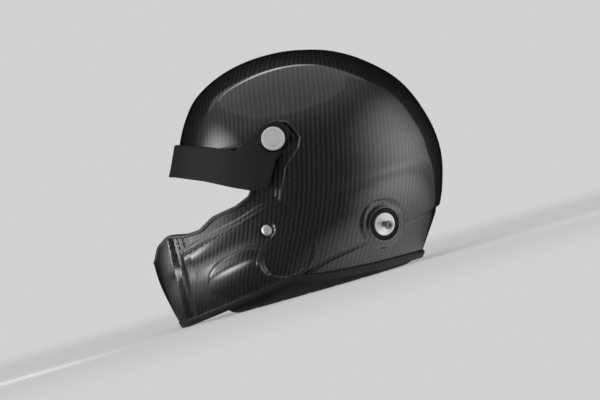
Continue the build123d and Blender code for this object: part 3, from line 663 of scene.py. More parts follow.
pivot, rivet, anchor = place((-0.0163, 0.6506)), place((-0.1151, 0.299)), place((0.2485, 0.1914))
sides = {"left": -1, "right": 1}
shell = {
    "columns": 528, "lowRows": 144, "highRows": 26, "lowTop": 0.195, "edgeLift": 7.5 * mm, "innerEvery": 4,
    "baseRims": 0.031,   # the rims round the base lie below this height
    "zones": {
        "elsewhere": 0.45, "finer": ((-0.162, 0.035, 0.55), (-0.060, 0.030, 0.3), (0.055, 0.115, 0.45)),
    },
    "snapReach": 0.6 * mm, "seatLines": (1.1 * mm, 5.7 * mm), "panelLines": (1.1 * mm,),
    "podLines": (1.0 * mm,),
    "seatSteps": ((1.5 * mm, 0.0, 2.2 * mm), (1.1 * mm, 4.6 * mm, 6.8 * mm)),   # depth, start, end inwards
    "seatBead": (1.3 * mm, 2.3 * mm),
    "panelDepth": 2.4 * mm, "panelSoft": (-0.3 * mm, 1.5 * mm), "panelGroove": (1.1 * mm, 5.5 * mm),
    "anchorPocket": 27 * mm,
    "blister": {
        "at": place((-0.2315, 0.1557)), "length": 80 * mm, "above": 25 * mm, "below": 20 * mm,
        "stand": 5.4 * mm, "tilt": 10,
    },
    "pod": {
        "at": place((-0.0748, 0.1766)), "length": 62 * mm, "height": 46 * mm, "tilt": 14,
        "middleDepth": 2.0 * mm, "slope": 0.055, "lip": 3.2 * mm, "bead": (0.45 * mm, 1.1 * mm, 0.7 * mm),
    },
    "rivetDish": (1.3 * mm, 6.8 * mm, 9.5 * mm),
    "chinCrease": ((-134 * mm, 77 * mm), (-137.6 * mm, 6.7 * mm)), "chinRidge": (-148.3 * mm, -151.5 * mm),
    "noseLine": ((-0.5, -0.03, 0.7, 0.95, 1.2, 1.9), (0, 0.8, -3.8, 0.5, 0.3, 0)),   # shares to the ridge, mm
}


# a local pair of distances along and across a tilted oval, as shares of its half sizes
def ovalShares(x, z, oval):
    tilt = math.radians(oval["tilt"])
    dx, dz = x - oval["at"][0], z - oval["at"][1]
    along, across = dx * math.cos(tilt) + dz * math.sin(tilt), dz * math.cos(tilt) - dx * math.sin(tilt)
    half = oval["height"] / 2 if "height" in oval else np.where(across > 0, oval["above"], oval["below"])
    return along / (oval["length"] / 2), across / half


# how far the shell's surface is drawn in at a place seen from the side: every feature adds its own soft step
def shellInset(x, z):
    seat = insideBy(x, z, outlines["visorSeat"])
    inset = sum(depth * smooth(seat, start, end) for depth, start, end in shell["seatSteps"])
    bead, reach = shell["seatBead"]
    inset -= bead * smooth(seat, -reach, -0.2 * reach) * (1 - smooth(seat, -0.2 * reach, 1 * mm))
    panel = np.maximum(insideBy(x, z, outlines["lowerPanel"]),
                       shell["anchorPocket"] - np.hypot(x - anchor[0], z - anchor[1]))
    groove, reach = shell["panelGroove"]
    depth = shell["panelDepth"] + groove * (1 - smooth(panel, 1.5 * mm, reach))
    inset += depth * smooth(panel, *shell["panelSoft"])
    along, across = ovalShares(x, z, shell["blister"])
    round2 = np.clip(1 - abs(along) ** 2.4 - abs(across) ** 2.2, 0, 1)
    blister = shell["blister"]["stand"] * np.sqrt(round2) * smooth(round2, 0, 0.25)
    pod = shell["pod"]
    along, across = ovalShares(x, z, pod)
    away = (1 - np.hypot(along, across)) * pod["height"] / 2
    inside = smooth(away, 0, pod["lip"])
    depth = pod["middleDepth"] - pod["slope"] * ((x - pod["at"][0]) + 0.6 * (z - pod["at"][1]))
    bead, out, wide = pod["bead"]
    inset -= bead * np.exp(-(((away + out) / wide) ** 2))
    inset += np.maximum(depth, 0.2 * mm) * inside - blister * (1 - smooth(away, -1 * mm, pod["lip"]))
    depth, near, far = shell["rivetDish"]
    inset += depth * (1 - smooth(np.hypot(x - rivet[0], z - rivet[1]), near, far))
    (topX, topZ), (lowX, lowZ) = shell["chinCrease"]
    down = np.clip((topZ - z) / (topZ - lowZ), -0.3, 1.2)
    crease = topX + (lowX - topX) * down
    ridge = shell["chinRidge"][0] + (shell["chinRidge"][1] - shell["chinRidge"][0]) * down
    nose = (crease - x) / (crease - ridge)
    return inset - np.interp(nose, *shell["noseLine"]) * mm


anchorSeat = {
    "turn": math.radians(27), "drop": math.radians(13), "flat": (23 * mm, 29 * mm), "deep": 20 * mm,
    "cover": (20.4 * mm, 22 * mm), "outerFloor": -2.6 * mm, "innerFloor": -8 * mm,
}


# a place on the form's left or right, from its x and z
def sidePoint(spot, inset, side):
    turn, step = sideTurn(np.array(spot[0]), np.array(spot[1]), inset)
    return np.array([spot[0], side * abs(formPoint(turn, step, inset)[1]), spot[1]])


def anchorAxis(side):
    turn, drop = anchorSeat["turn"], anchorSeat["drop"]
    level = math.cos(drop)
    return np.array([math.sin(turn) * level, side * math.cos(turn) * level, -math.sin(drop)])


# flattens what lies round each anchor onto a plane, and drops it to a floor, or only what a cover hides
def flattenAnchors(points, floor, cover=None):
    for side in sides.values():
        axis = anchorAxis(side)
        away = points - sidePoint(anchor, shell["panelDepth"], side)
        height = away @ axis
        radius = np.linalg.norm(away - height[..., None] * axis, axis=-1)
        near = (1 - smooth(radius, *anchorSeat["flat"])) * (abs(height) < anchorSeat["deep"])
        level = floor * (1 - smooth(radius, *cover)) if cover else floor
        points = points + ((level - height) * near)[..., None] * axis
    return points


# arc lengths over the form: along each level from its widest place, and up each column from the waist
def surfaceLengths(turn, step):
    points = formPoint(turn, step)
    total = np.cumsum(np.linalg.norm(points - np.roll(points, 1, axis=1), axis=-1), axis=1)
    out = np.zeros_like(total)
    for side in (-1, 1):
        chosen = (turn[0] > 0) == (side == 1)
        widest = np.argmin(abs(turn[0] - side * np.pi / 2))
        out[:, chosen] = side * (total - total[:, widest:widest + 1])[:, chosen]
    climb = np.cumsum(np.linalg.norm(np.diff(points, axis=0), axis=-1), axis=0)
    up = np.concatenate([np.zeros((1, turn.shape[1])), climb])
    zero = np.array([np.interp(waist, points[:, k, 2], up[:, k]) for k in range(turn.shape[1])])
    return np.stack([out, up - zero], -1)


# the same lengths after corners have moved: moves in columns and rows times the lengths' own slopes
def movedLengths(lengths, turn, step, newTurn, newStep):
    column = (newTurn - turn) / np.gradient(turn, axis=1)
    row = (newStep - step - np.gradient(step, axis=1) * column) / np.gradient(step, axis=0)
    moved = column[..., None] * np.gradient(lengths, axis=1)
    return lengths + moved + row[..., None] * np.gradient(lengths, axis=0)


# columns closer together where the side has its features, by equal shares of a weighted length
def spreadTurns(count, zones, start=-np.pi, end=np.pi, closed=True):
    turn = np.linspace(start, end, 6001)
    points = formPoint(turn, stepAt(np.array(0.09)))
    middle = (points[1:, 0] + points[:-1, 0]) / 2
    weight = np.full(len(middle), zones["elsewhere"])
    for low, high, extra in zones["finer"]:
        weight += extra * smooth(middle, low - 0.01, low) * (1 - smooth(middle, high, high + 0.01))
    total = np.concatenate([[0], np.cumsum(weight * np.linalg.norm(np.diff(points, axis=0), axis=1))])
    wanted = np.linspace(0, total[-1], count + 1 if closed else count)
    return np.interp(wanted[:count], total, turn)


# moves chosen corners along the surface onto the line where a distance is zero
def snap(turn, step, chosen, distance, rounds=3, e=1e-4):
    turn, step = turn.copy(), step.copy()
    t, s = turn[chosen], step[chosen]
    for _ in range(rounds):
        here = formPoint(t, s)
        overTurn, overStep = (formPoint(t + e, s) - here) / e, (formPoint(t, s + e) - here) / e
        now = distance(t, s)
        byTurn, byStep = (distance(t + e, s) - now) / e, (distance(t, s + e) - now) / e
        turnSize, stepSize = (overTurn**2).sum(-1), (overStep**2).sum(-1)
        whole = byTurn**2 / turnSize + byStep**2 / stepSize + 1e-12
        t = t - np.clip(now * byTurn / turnSize / whole, -0.03, 0.03)
        s = s - np.clip(now * byStep / stepSize / whole, -0.15, 0.15)
    turn[chosen], step[chosen] = t, s
    return turn, step


# moves every corner near one of a distance's levels onto that level, so that a step's edges run clean
def snapLines(turn, step, distance, goals, reach):
    value = distance(turn, step)
    goal = np.array(goals)[np.argmin(abs(value[..., None] - np.array(goals)), -1)]
    chosen = abs(value - goal) < reach
    return snap(turn, step, chosen, lambda t, s: distance(t, s) - goal[chosen])


def sideDistance(outline, inset=0.0):
    def distance(turn, step):
        points = formPoint(turn, step, inset)
        return insideBy(points[..., 0], points[..., 2], outline)
    return distance


# a grid's corners moved onto lines and onto the edge where a distance is zero, and its quads where it is more
def cutGrid(turn, step, stays, lines, closed):
    faces = gridFaces(*turn.shape, closed)
    newTurn, newStep = turn, step
    for distance, goals, reach in lines:
        newTurn, newStep = snapLines(newTurn, newStep, distance, goals, reach)
    kept = stays(turn, step).ravel()[faces].mean(1) > 0
    inKept, inDropped = (np.isin(np.arange(turn.size), faces[rows]) for rows in (kept, ~kept))
    newTurn, newStep = snap(newTurn, newStep, (inKept & inDropped).reshape(turn.shape), stays)
    return faces[kept], newTurn, newStep


# the corners that faces use, and the faces with those corners' new numbers
def numbered(faces, count):
    used = np.unique(np.concatenate([np.ravel(face) for face in faces]))
    renumber = np.zeros(count, int)
    renumber[used] = np.arange(len(used))
    return used, [renumber[face].tolist() for face in faces]


# a skin of the form cut by a distance that is positive where it stays: outer and inner faces, and a rim
def skin(name, turn, step, stays, outer, inner, lines, closed, *finish):
    faces, newTurn, newStep = cutGrid(turn, step, stays, lines, closed)
    size = turn.size
    points = np.concatenate([outer(newTurn, newStep).reshape(-1, 3), inner(newTurn, newStep).reshape(-1, 3)])
    borders = np.concatenate([np.stack([faces[:, k], faces[:, (k + 1) % 4]], 1) for k in range(4)])
    keys = np.sort(borders, 1) @ np.array([size, 1])
    _, first, count = np.unique(keys, return_index=True, return_counts=True)
    rim = borders[first[count == 1]]
    edge = np.stack([rim[:, 1], rim[:, 0], rim[:, 0] + size, rim[:, 1] + size], 1)
    used, quads = numbered(np.concatenate([faces, faces[:, ::-1] + size, edge]), len(points))
    return addPiece(name, points[used], quads, *finish)


# rows of the shell from just above the base edge to the crown, closer together up to the brow
def shellGrid():
    turn = spreadTurns(shell["columns"], shell["zones"])
    step = stepAt(np.full(len(turn), 0.02))
    for _ in range(5):
        low = np.interp(formPoint(turn, step)[:, 0], baseLine[:, 0], baseLine[:, 1]) + shell["edgeLift"]
        step = stepAt(low)
    up = np.linspace(0, 1, shell["lowRows"])[:, None]
    lower = stepAt(low + (shell["lowTop"] - low) * up)
    top = stepAt(shell["lowTop"])
    share = np.linspace(0, 1, shell["highRows"] + 1)[1:-1, None]
    step = np.concatenate([lower, top + (crownStep - top) * share * np.ones(len(turn))])
    return np.broadcast_to(turn, step.shape), step


def shellOuter(turn, step):
    flat = formPoint(turn, step)
    points = formPoint(turn, step, shellInset(flat[..., 0], flat[..., 2]))
    return flattenAnchors(points, anchorSeat["outerFloor"], anchorSeat["cover"])


def shellInner(turn, step):
    return flattenAnchors(formPoint(turn, step, form["wall"]), anchorSeat["innerFloor"])


def podDistance(turn, step):
    points = formPoint(turn, step)
    shares = ovalShares(points[..., 0], points[..., 2], shell["pod"])
    return (1 - np.hypot(*shares)) * shell["pod"]["height"] / 2


# a surface's own outward directions, from small steps along turn and step
def directions(surface, turn, step, e=1.5e-3):
    overTurn = surface(turn + e, step) - surface(turn - e, step)
    overStep = surface(turn, step + 4 * e) - surface(turn, step - 4 * e)
    return unit(np.cross(overTurn, overStep))


# one face of the shell: the grid's corners moved onto its lines, its quads, and a fan that closes the crown
def shellFace(turn, step, surface, lines, flipped):
    rows, columns = turn.shape
    faces, newTurn, newStep = cutGrid(turn, step, lambda t, s: -eyeport(t, s), lines, True)
    crown = surface(np.zeros(1), np.full(1, crownStep - 1e-7))
    points = np.concatenate([surface(newTurn, newStep).reshape(-1, 3), crown])
    normals = np.concatenate([directions(surface, newTurn, newStep).reshape(-1, 3), [[0, 0, 1.0]]])
    normals = facingOut(points, normals, shellHeart) * (-1 if flipped else 1)
    last = (rows - 1) * columns + np.arange(columns)
    fan = np.stack([last, np.roll(last, -1), np.full(columns, rows * columns)], 1)
    quads = faces.tolist() + fan.tolist()
    if not flipped:
        quads = [face[::-1] for face in quads]
    return points, normals, quads, newTurn, newStep


# bridges the open rims in pairs: those round the base, which lie below a height, and then the eyeport's
def joinRims(mesh, baseTop):
    work = bmesh.new()
    work.from_mesh(mesh)
    for below in (baseTop, math.inf):
        edges = [e for e in work.edges if e.is_boundary and max(v.co.z for v in e.verts) < below]
        bmesh.ops.bridge_loops(work, edges=edges)
    work.to_mesh(mesh)
    work.free()


# the shell: a fine outer face and a coarse inner one, joined round the base and round the eyeport
def makeShell():
    lines = [
        (sideDistance(outlines["visorSeat"]), shell["seatLines"], shell["snapReach"]),
        (sideDistance(outlines["lowerPanel"]), shell["panelLines"], shell["snapReach"]),
        (podDistance, shell["podLines"], shell["snapReach"]),
    ]
    points, normals, faces, newTurn, newStep = shellFace(shellTurn, shellStep, shellOuter, lines, False)
    every = shell["innerEvery"]
    rows = [*range(0, shell["lowRows"], every), *range(shell["lowRows"] + 1, len(shellStep), every)]
    coarse = shellTurn[rows][:, ::every], shellStep[rows][:, ::every]
    innerPoints, innerNormals, innerFaces, _, _ = shellFace(*coarse, shellInner, [], True)
    moved = movedLengths(shellLengths, shellTurn, shellStep, newTurn, newStep).reshape(-1, 2)
    lengths = np.concatenate([moved, [[0, moved[:, 1].max()]], np.zeros((len(innerPoints), 2))])
    faces = faces + [[corner + len(points) for corner in face] for face in innerFaces]
    used, faces = numbered(faces, len(lengths))
    points = np.concatenate([points, innerPoints])[used]
    normals = np.concatenate([normals, innerNormals])[used]
    mesh = addPiece("shell", points, faces, "helmet", "carbon", paints["carbon"], "outer_shell",
                    surfaceMap=lengths[used], merged=False).data
    joinRims(mesh, shell["baseRims"])
    mesh.normals_split_custom_set_from_vertices(normals.tolist())
    print("shell ready:", len(mesh.polygons), "faces")


shellTurn, shellStep = shellGrid()
shellLengths = surfaceLengths(shellTurn, shellStep)
eyeport = sideDistance(outlines["eyeport"])
makeShell()

shellSpots = formPoint(shellTurn, shellStep).reshape(-1, 3)
spotReach = 45 * mm   # a loose piece's shell corners lie within this distance of its middle


# surface distances for loose corners: a mean of the shell's four nearest corners, weighted by nearness
def shellMap(points):
    near = np.linalg.norm(shellSpots - points.mean(0), axis=1) < spotReach
    apart = np.linalg.norm(points[:, None] - shellSpots[near], axis=-1)
    closest = np.argsort(apart, axis=1)[:, :4]
    weight = 1 / (np.take_along_axis(apart, closest, 1) + 0.1 * mm)
    lengths = shellLengths.reshape(-1, 2)[near][closest]
    return (lengths * weight[..., None]).sum(1) / weight.sum(1)[:, None]


# what is turned on the lathe, as profiles of (radius, height) in mm
turnedParts = {
    "peakSeat": [
        (0, 105), (14.7, 105), (14.7, 112.9), (14.3, 113.3), (11.3, 113.3), (11, 113.6), (11, 116.8),
        (0, 116.8),
    ],
    "peakHub": [
        (5.05, 118.05), (12.4, 118.05), (12.4, 113.6), (14.7, 113.6), (15.2, 114.1), (15.2, 120.7),
        (14.7, 121.25), (5.05, 121.25),
    ],
    "peakScrew": [
        (0, 124.2), (1.5, 124.2), (1.8, 124.45), (2.1, 124.7), (5.2, 124.7), (5.4, 124.5), (5.6, 124.5),
        (5.8, 124.7), (7.9, 124.7), (8.2, 124.5), (8.25, 124.2), (8.95, 124.2), (9.0, 124.5), (9.3, 124.7),
        (11.9, 124.7), (12.45, 124.45), (12.75, 123.9), (12.75, 121.3), (5, 121.3), (5, 116.82), (3, 116.82),
        (3, 109.3), (0, 109.3),
    ],
    "bezel": [
        (17.3, -3.2), (17.3, 0.9), (17.5, 1.7), (18.0, 2.1), (18.7, 2.15), (19.4, 1.8), (20.1, 1.1),
        (21.2, 0.5), (22.3, 0.1), (22.9, -0.3), (23.1, -3.2),
    ],
    "bezelFloor": [(15.8, -4.0), (15.8, -1.8), (19.6, -1.8), (19.6, -4.0)],
    "anchorRing": [
        (12.4, -1.8), (17.1, -1.8), (17.1, 1.0), (16.9, 1.3), (16.3, 1.6), (15.8, 1.6), (14.3, 1.6),
        (14.1, 1.35), (13.5, 1.35), (13.3, 1.6), (12.8, 1.6), (12.4, 1.3),
    ],
    "anchorDish": [
        (3.25, -1.8), (12.3, -1.8), (12.3, 2.5), (12.1, 2.95), (11.7, 3.2), (11.2, 3.15), (10.2, 2.6),
        (7.6, 2.05), (4.6, 1.75), (4.0, 1.6), (3.25, 1.6),
    ],
    "anchorPost": [
        (0, 10.6), (1.75, 10.6), (1.95, 10.9), (1.95, 12.3), (2.25, 12.6), (4.0, 12.6), (4.5, 12.35),
        (4.7, 11.9), (4.7, 10.2), (4.45, 9.75), (3.9, 9.6), (3.4, 9.3), (3.2, 8.8), (3.2, -1.8), (3, -1.8),
        (3, -12), (0, -12),
    ],
    "strapRivet": [
        (0, 2.4), (1.6, 2.33), (3.2, 2.02), (4.6, 1.42), (5.5, 0.75), (5.9, 0.3), (6.0, 0.1), (5.9, 0),
        (3, 0), (3, -21), (0, -21),
    ],
}
rivetOut, rivetSunk = sidePoint(rivet, 0.0, 1)[1], 1.2 * mm
anchorAt = sidePoint(anchor, shell["panelDepth"], 1)
metals = {
    "screw": turnedPaint("turnedScrew", (0.84, 0.84, 0.85), (0.62, 0.62, 0.63), 0.4, 0.5 * mm,
                         (pivot[0], 0.1247, pivot[1]), 0.4),
    "rivet": turnedPaint("polishedRivet", (0.86, 0.86, 0.87), (0.66, 0.66, 0.66), 0.24, 0.6 * mm,
                         (rivet[0], rivetOut, rivet[1]), 0.6),
    "dish": turnedPaint("turnedDish", (0.88, 0.87, 0.86), (0.7, 0.7, 0.7), 0.42, 0.4 * mm,
                        tuple(anchorAt), 0.6),
    "post": turnedPaint("turnedPost", (0.2, 0.2, 0.2), (0.12, 0.12, 0.12), 0.36, 0.5 * mm,
                        tuple(anchorAt + anchorAxis(1) * 12.6 * mm)),
}
turnedPieces = {   # its place, columns, body, slot, material and node
    "peakSeat": ("pivot", 64, "helmet", "carbon", paints["peak"], "outer_shell"),
    "peakHub": ("pivot", 96, "peak", "peak_black", paints["peak"], "peak"),
    "peakScrew": ("pivot", 96, "{}_screw", "silver", metals["screw"], "peak_screw_{}"),
    "bezel": ("anchor", 96, "helmet", "carbon", paints["carbon"], "outer_shell"),
    "bezelFloor": ("anchor", 64, "helmet", "carbon", paints["peak"], "outer_shell"),
    "anchorRing": ("anchor", 96, "helmet", "ring_black", paints["blackRing"], "anchor_rings"),
    "anchorDish": ("anchor", 96, "helmet", "silver", metals["dish"], "anchor_dishes"),
    "anchorPost": ("anchor", 64, "helmet", "silver", metals["post"], "anchor_posts"),
    "strapRivet": ("rivet", 64, "helmet", "silver", metals["rivet"], "strap_rivets"),
}


def makeTurned(part, name, spots):
    spot, columns, body, slot, material, node = turnedPieces[part]
    profile = np.array(turnedParts[part]) * mm
    onAxis = profile[0, 0] == 0 and profile[-1, 0] == 0
    finish = body.format(name), slot, material, node.format(name)
    mesh = lathe(part + "_" + name, profile, *spots[spot], columns, not onAxis, *finish).data
    if part == "bezel":
        points = np.zeros(len(mesh.vertices) * 3, np.float32)
        mesh.vertices.foreach_get("co", points)
        addSurfaceMap(mesh, shellMap(points.reshape(-1, 3)))


for name, side in sides.items():
    spots = {
        "pivot": ((pivot[0], 0, pivot[1]), (0, side, 0)),
        "rivet": ((rivet[0], side * (rivetOut - rivetSunk), rivet[1]), (0, side, 0)),
        "anchor": (sidePoint(anchor, shell["panelDepth"], side), anchorAxis(side)),
    }
    for part in turnedPieces:
        makeTurned(part, name, spots)
print("turned parts ready")

peak = {
    "outer": -6.5 * mm, "inner": -4 * mm, "columns": 300, "rows": 92, "low": 0.116, "high": 0.206,
    "turn": 1.75, "edge": 1.1 * mm, "edgeDrop": 0.7 * mm, "snapReach": 0.55 * mm, "hole": 15.0 * mm,
    "zones": {"elsewhere": 0.6, "finer": ((-0.070, 0.030, 0.6),)},
}


def peakStays(turn, step):
    points = formPoint(turn, step, peak["outer"])
    away = np.hypot(points[..., 0] - pivot[0], points[..., 2] - pivot[1]) - peak["hole"]
    return np.minimum(insideBy(points[..., 0], points[..., 2], outlines["peak"]), away)


def peakOuter(turn, step):
    edge = 1 - smooth(peakStays(turn, step), 0, peak["edge"])
    return formPoint(turn, step, peak["outer"] + peak["edgeDrop"] * edge)


def peakInner(turn, step):
    return formPoint(turn, step, peak["inner"])


def makePeak():
    turn = spreadTurns(peak["columns"], peak["zones"], -peak["turn"], peak["turn"], False)
    step = stepAt(np.linspace(peak["low"], peak["high"], peak["rows"]))[:, None] * np.ones(len(turn))
    lines = [(peakStays, (0.0, peak["edge"]), peak["snapReach"])]
    piece = skin("peakSkin", np.broadcast_to(turn, step.shape), step, peakStays, peakOuter, peakInner, lines,
                 False, "peak", "peak_black", paints["peak"], "peak")
    print("peak ready:", len(piece.data.polygons), "faces")


makePeak()

baseTrim = {
    "points": 480, "upStep": 4 * mm,
    "section": np.array([
        (0.0, 0.05), (0.7, 0.3), (1.1, 1.1), (1.25, 3.0), (1.2, 5.6), (0.9, 7.3), (0.3, 8.3), (-0.6, 8.6),
        (-4.7, 8.6), (-5.3, 8.0), (-5.4, 6.0), (-5.4, 1.6), (-5.0, 0.4), (-4.2, 0.05),
    ]) * mm,
}


# the base edge as a closed path, with the directions out of the form and up along it
def basePath():
    turn = np.linspace(-np.pi, np.pi, baseTrim["points"], endpoint=False)
    step = stepAt(np.full(len(turn), 0.01))
    for _ in range(6):
        step = stepAt(np.interp(formPoint(turn, step)[:, 0], baseLine[:, 0], baseLine[:, 1]))
    path = formPoint(turn, step)
    up = formPoint(turn, stepAt(path[:, 2] + baseTrim["upStep"])) - path
    along = np.roll(path, -1, 0) - np.roll(path, 1, 0)
    return path, facingOut(path, unit(np.cross(along, up))), unit(up)


carried("baseTrim", *basePath(), baseTrim["section"], True, "helmet", "trim_grey", paints["baseTrim"],
        "base_trim")

eyeTrim = {
    "spacing": 1.6 * mm, "fine": 0.04 * mm, "opening": np.array([-0.12, 0, 0.135]),
    "section": np.array([   # proud of the form, and into the opening
        (-2.4, -1.7), (0.1, -1.6), (0.55, -1.2), (0.7, -0.4), (0.7, 0.9), (0.5, 1.6), (0.0, 2.1), (-0.8, 2.2),
        (-4.4, 2.2), (-5.1, 1.8), (-5.3, 0.9), (-5.3, -1.2), (-5.0, -1.7),
    ]) * mm,
}


# the eyeport's edge in space: on the left from the chin's middle round to the brow's, and then mirrored
def eyeportPath():
    line = np.concatenate([outlines["eyeport"], outlines["eyeport"][:1]])
    length = runLengths(line)
    fine = np.arange(0, length[-1], eyeTrim["fine"])
    x, z = (np.interp(fine, length, column) for column in line.T)
    level = alongLevels(keptLevels, stepAt(z))
    on = (level[:, 1] - x) < level[:, 2]
    x, z = x[on], z[on]
    first = np.argmax(np.diff(x) > 0) if x[0] > x[-1] else 0
    half = formPoint(*sideTurn(x[first:], z[first:]))
    whole = np.concatenate([half, (half * np.array([1, -1, 1]))[::-1]])
    return evenPoints(whole, spacing=eyeTrim["spacing"])


def softened(path, rounds):
    for _ in range(rounds):
        path = path * 0.5 + (np.roll(path, 1, 0) + np.roll(path, -1, 0)) * 0.25
    return path


# the form's outward direction at places on it, from the slopes of turn and step
def formOut(path, e=1e-3):
    turn, step = sideTurn(path[:, 0], path[:, 2])
    here = formPoint(turn, step)
    normal = unit(np.cross(formPoint(turn + e, step) - here, formPoint(turn, step + e) - here))
    return facingOut(path, np.where(path[:, 1:2] > 0, normal * np.array([1, -1, 1]), normal))


path = softened(eyeportPath(), 3)
out = softened(formOut(path), 4)
into = unit(np.cross(out, np.roll(path, -1, 0) - np.roll(path, 1, 0)))
into = into * np.sign(((eyeTrim["opening"] - path) * into).sum(-1).mean())
carried("eyeportTrim", path, unit(out), into, eyeTrim["section"], True, "helmet", "trim_black",
        paints["eyeTrim"], "eyeport_trim")
print("edgings ready")

neckRoll = {
    "cut": 0.781, "rows": 260, "columns": 40, "measuredAt": (9 * mm, 15 * mm), "half": 9 * mm,
    "capLength": 11 * mm, "channels": 16, "channelDepth": 0.7 * mm, "channelWidth": 0.002,
    "section": [   # height and inset in mm, up the outside and down the inside
        (0.3, 15.6), (2.5, 10.2), (7.5, 6.5), (13.0, 5.8), (17.0, 5.9), (17.8, 9.5), (17.9, 16.0),
        (15.5, 23.6), (9.0, 25.8), (2.5, 23.5), (0.2, 19.6),
    ],
}


# a closed curve through points
def smoothLoop(points, count):
    points = np.array(points, float)
    rows = np.concatenate([points[-1:], points, points[:2]])
    return curveAt(rows, np.linspace(0, len(points), count, endpoint=False))


# rows between given rows, on a curve that runs straight on at its ends
def smoothLevels(rows, between):
    rows = np.array(rows)
    padded = np.concatenate([2 * rows[:1] - rows[1:2], rows, 2 * rows[-1:] - rows[-2:-1]])
    return curveAt(padded, np.linspace(0, len(rows) - 1, (len(rows) - 1) * between + 1)).T


# 1 along sewn lines, which lie at the whole numbers, and falling off beside them
def sewnLines(value, width):
    return np.exp(-((value + 0.5) % 1 - 0.5) ** 2 / width)


# a padded roll round the neck: one section carried round the form's levels, round at its ends, sewn across
def makeNeckRoll():
    section = smoothLoop(neckRoll["section"], neckRoll["columns"]) * mm
    middle = section.mean(0)
    turn = np.linspace(neckRoll["cut"], 2 * np.pi - neckRoll["cut"], neckRoll["rows"])
    height, inset = neckRoll["measuredAt"]
    length = runLengths(formPoint(turn, stepAt(np.full(len(turn), height)), inset))
    cap = np.clip(np.minimum(length, length[-1] - length) / neckRoll["capLength"], 0, 1)
    size = np.sqrt(np.clip(1 - (1 - cap) ** 2, 0, 1))
    sewn = sewnLines(length / length[-1] * neckRoll["channels"], neckRoll["channelWidth"])
    size = (size - sewn * neckRoll["channelDepth"] / neckRoll["half"] * (cap == 1))[:, None, None]
    spot = middle + (section - middle) * size
    points = formPoint(turn[:, None], stepAt(spot[..., 0]), spot[..., 1])
    addPiece("neckRoll", points, gridFaces(len(turn), len(section), True), "helmet", "roll_black",
             paints["roll"], "neck_roll", 0.85)


makeNeckRoll()

cheekPad = {
    "at": (-0.1484 * form["length"], 0.081, 0.2583 * form["height"]), "turn": math.radians(12),
    "depth": 20 * mm, "corner": 10 * mm, "columns": 120, "rowsBetween": 4,
    "outline": [
        (-0.107, -0.099), (-0.042, -0.133), (0.042, -0.129), (0.095, -0.068), (0.104, 0.076), (0.08, 0.118),
        (0.0, 0.11), (-0.101, 0.065),
    ],
    "levels": [   # depth, size
        (0.0, 0.0), (0.0, 0.55), (0.01, 0.84), (0.08, 0.94), (0.2, 0.99), (0.4, 1.0), (0.6, 0.99),
        (0.78, 0.94), (0.9, 0.85), (0.98, 0.72), (1.04, 0.55), (1.07, 0.36), (1.08, 0.18), (1.085, 0.0),
    ],
    "channel": 2.2 * mm, "channelWidth": 1.6 * mm, "channelLean": 0.25, "channelFrom": (0.6, 0.95),
}


# a crowned cushion: one outline scaled from level to level, pressed in along a sewn channel across its face
def makeCheekPad(name, side):
    loop = rounded(cheekPad["outline"], cheekPad["corner"])
    loop = evenPoints(np.concatenate([loop, loop[:1]]), cheekPad["columns"])
    depth, size = smoothLevels(cheekPad["levels"], cheekPad["rowsBetween"])
    x, z = loop[:, 0] * size[:, None], loop[:, 1] * size[:, None]
    deep = depth[:, None] * cheekPad["depth"] + 0 * x
    start, end = (share * cheekPad["depth"] for share in cheekPad["channelFrom"])
    sewn = np.exp(-((z - cheekPad["channelLean"] * x) / cheekPad["channelWidth"]) ** 2)
    deep = deep - cheekPad["channel"] * smooth(deep, start, end) * sewn
    c, s = math.cos(cheekPad["turn"]), math.sin(cheekPad["turn"])
    atX, atY, atZ = cheekPad["at"]
    points = np.stack([atX + x * c + deep * s, side * (atY + x * s - deep * c), atZ - z], -1)
    addPiece("cheekPad_" + name, points, gridFaces(len(size), len(loop), True), "helmet", "pad_fabric",
             paints["pad"], "cheek_pad_" + name, 0.75)


earCushion = {
    "at": (0.0593 * form["length"], 0.357 * form["height"]), "half": (24 * mm, 30 * mm), "wall": 5.9 * mm,
    "low": 93.7 * mm, "depth": 14.4 * mm, "rows": 96, "columns": 28, "squareness": 0.8, "gathers": (12, 0.03),
}


# a wave's value with its sign kept and its size raised to a power: under 1 it makes a round section squarer
def squared(wave, power):
    return np.sign(wave) * abs(wave) ** power


# an oval ring cushion: a full, squarish section carried round an oval
def makeEarCushion(name, side):
    rows, columns = earCushion["rows"], earCushion["columns"]
    around = np.linspace(0, 2 * np.pi, rows, endpoint=False)[:, None]
    a = np.linspace(0, 2 * np.pi, columns, endpoint=False)[None]
    count, depth = earCushion["gathers"]
    gathered = 1 - depth * np.cos(around * count) ** 2
    wide = squared(np.cos(a), earCushion["squareness"]) * earCushion["wall"] * gathered
    deep = earCushion["depth"] / 2 * (1 + squared(np.sin(a), earCushion["squareness"]))
    x = earCushion["at"][0] + (earCushion["half"][0] + wide) * np.cos(around)
    z = earCushion["at"][1] + (earCushion["half"][1] + wide) * np.sin(around)
    points = np.stack([x, side * (earCushion["low"] - deep) + 0 * x, z], -1)
    addPiece("earCushion_" + name, points, gridFaces(rows, columns, True, True), "helmet", "cushion_leather",
             paints["leather"], "ear_cushion_" + name, 0.8)


for name, side in sides.items():
    makeCheekPad(name, side)
    makeEarCushion(name, side)
print("roll, cheek pads and ear cushions ready")

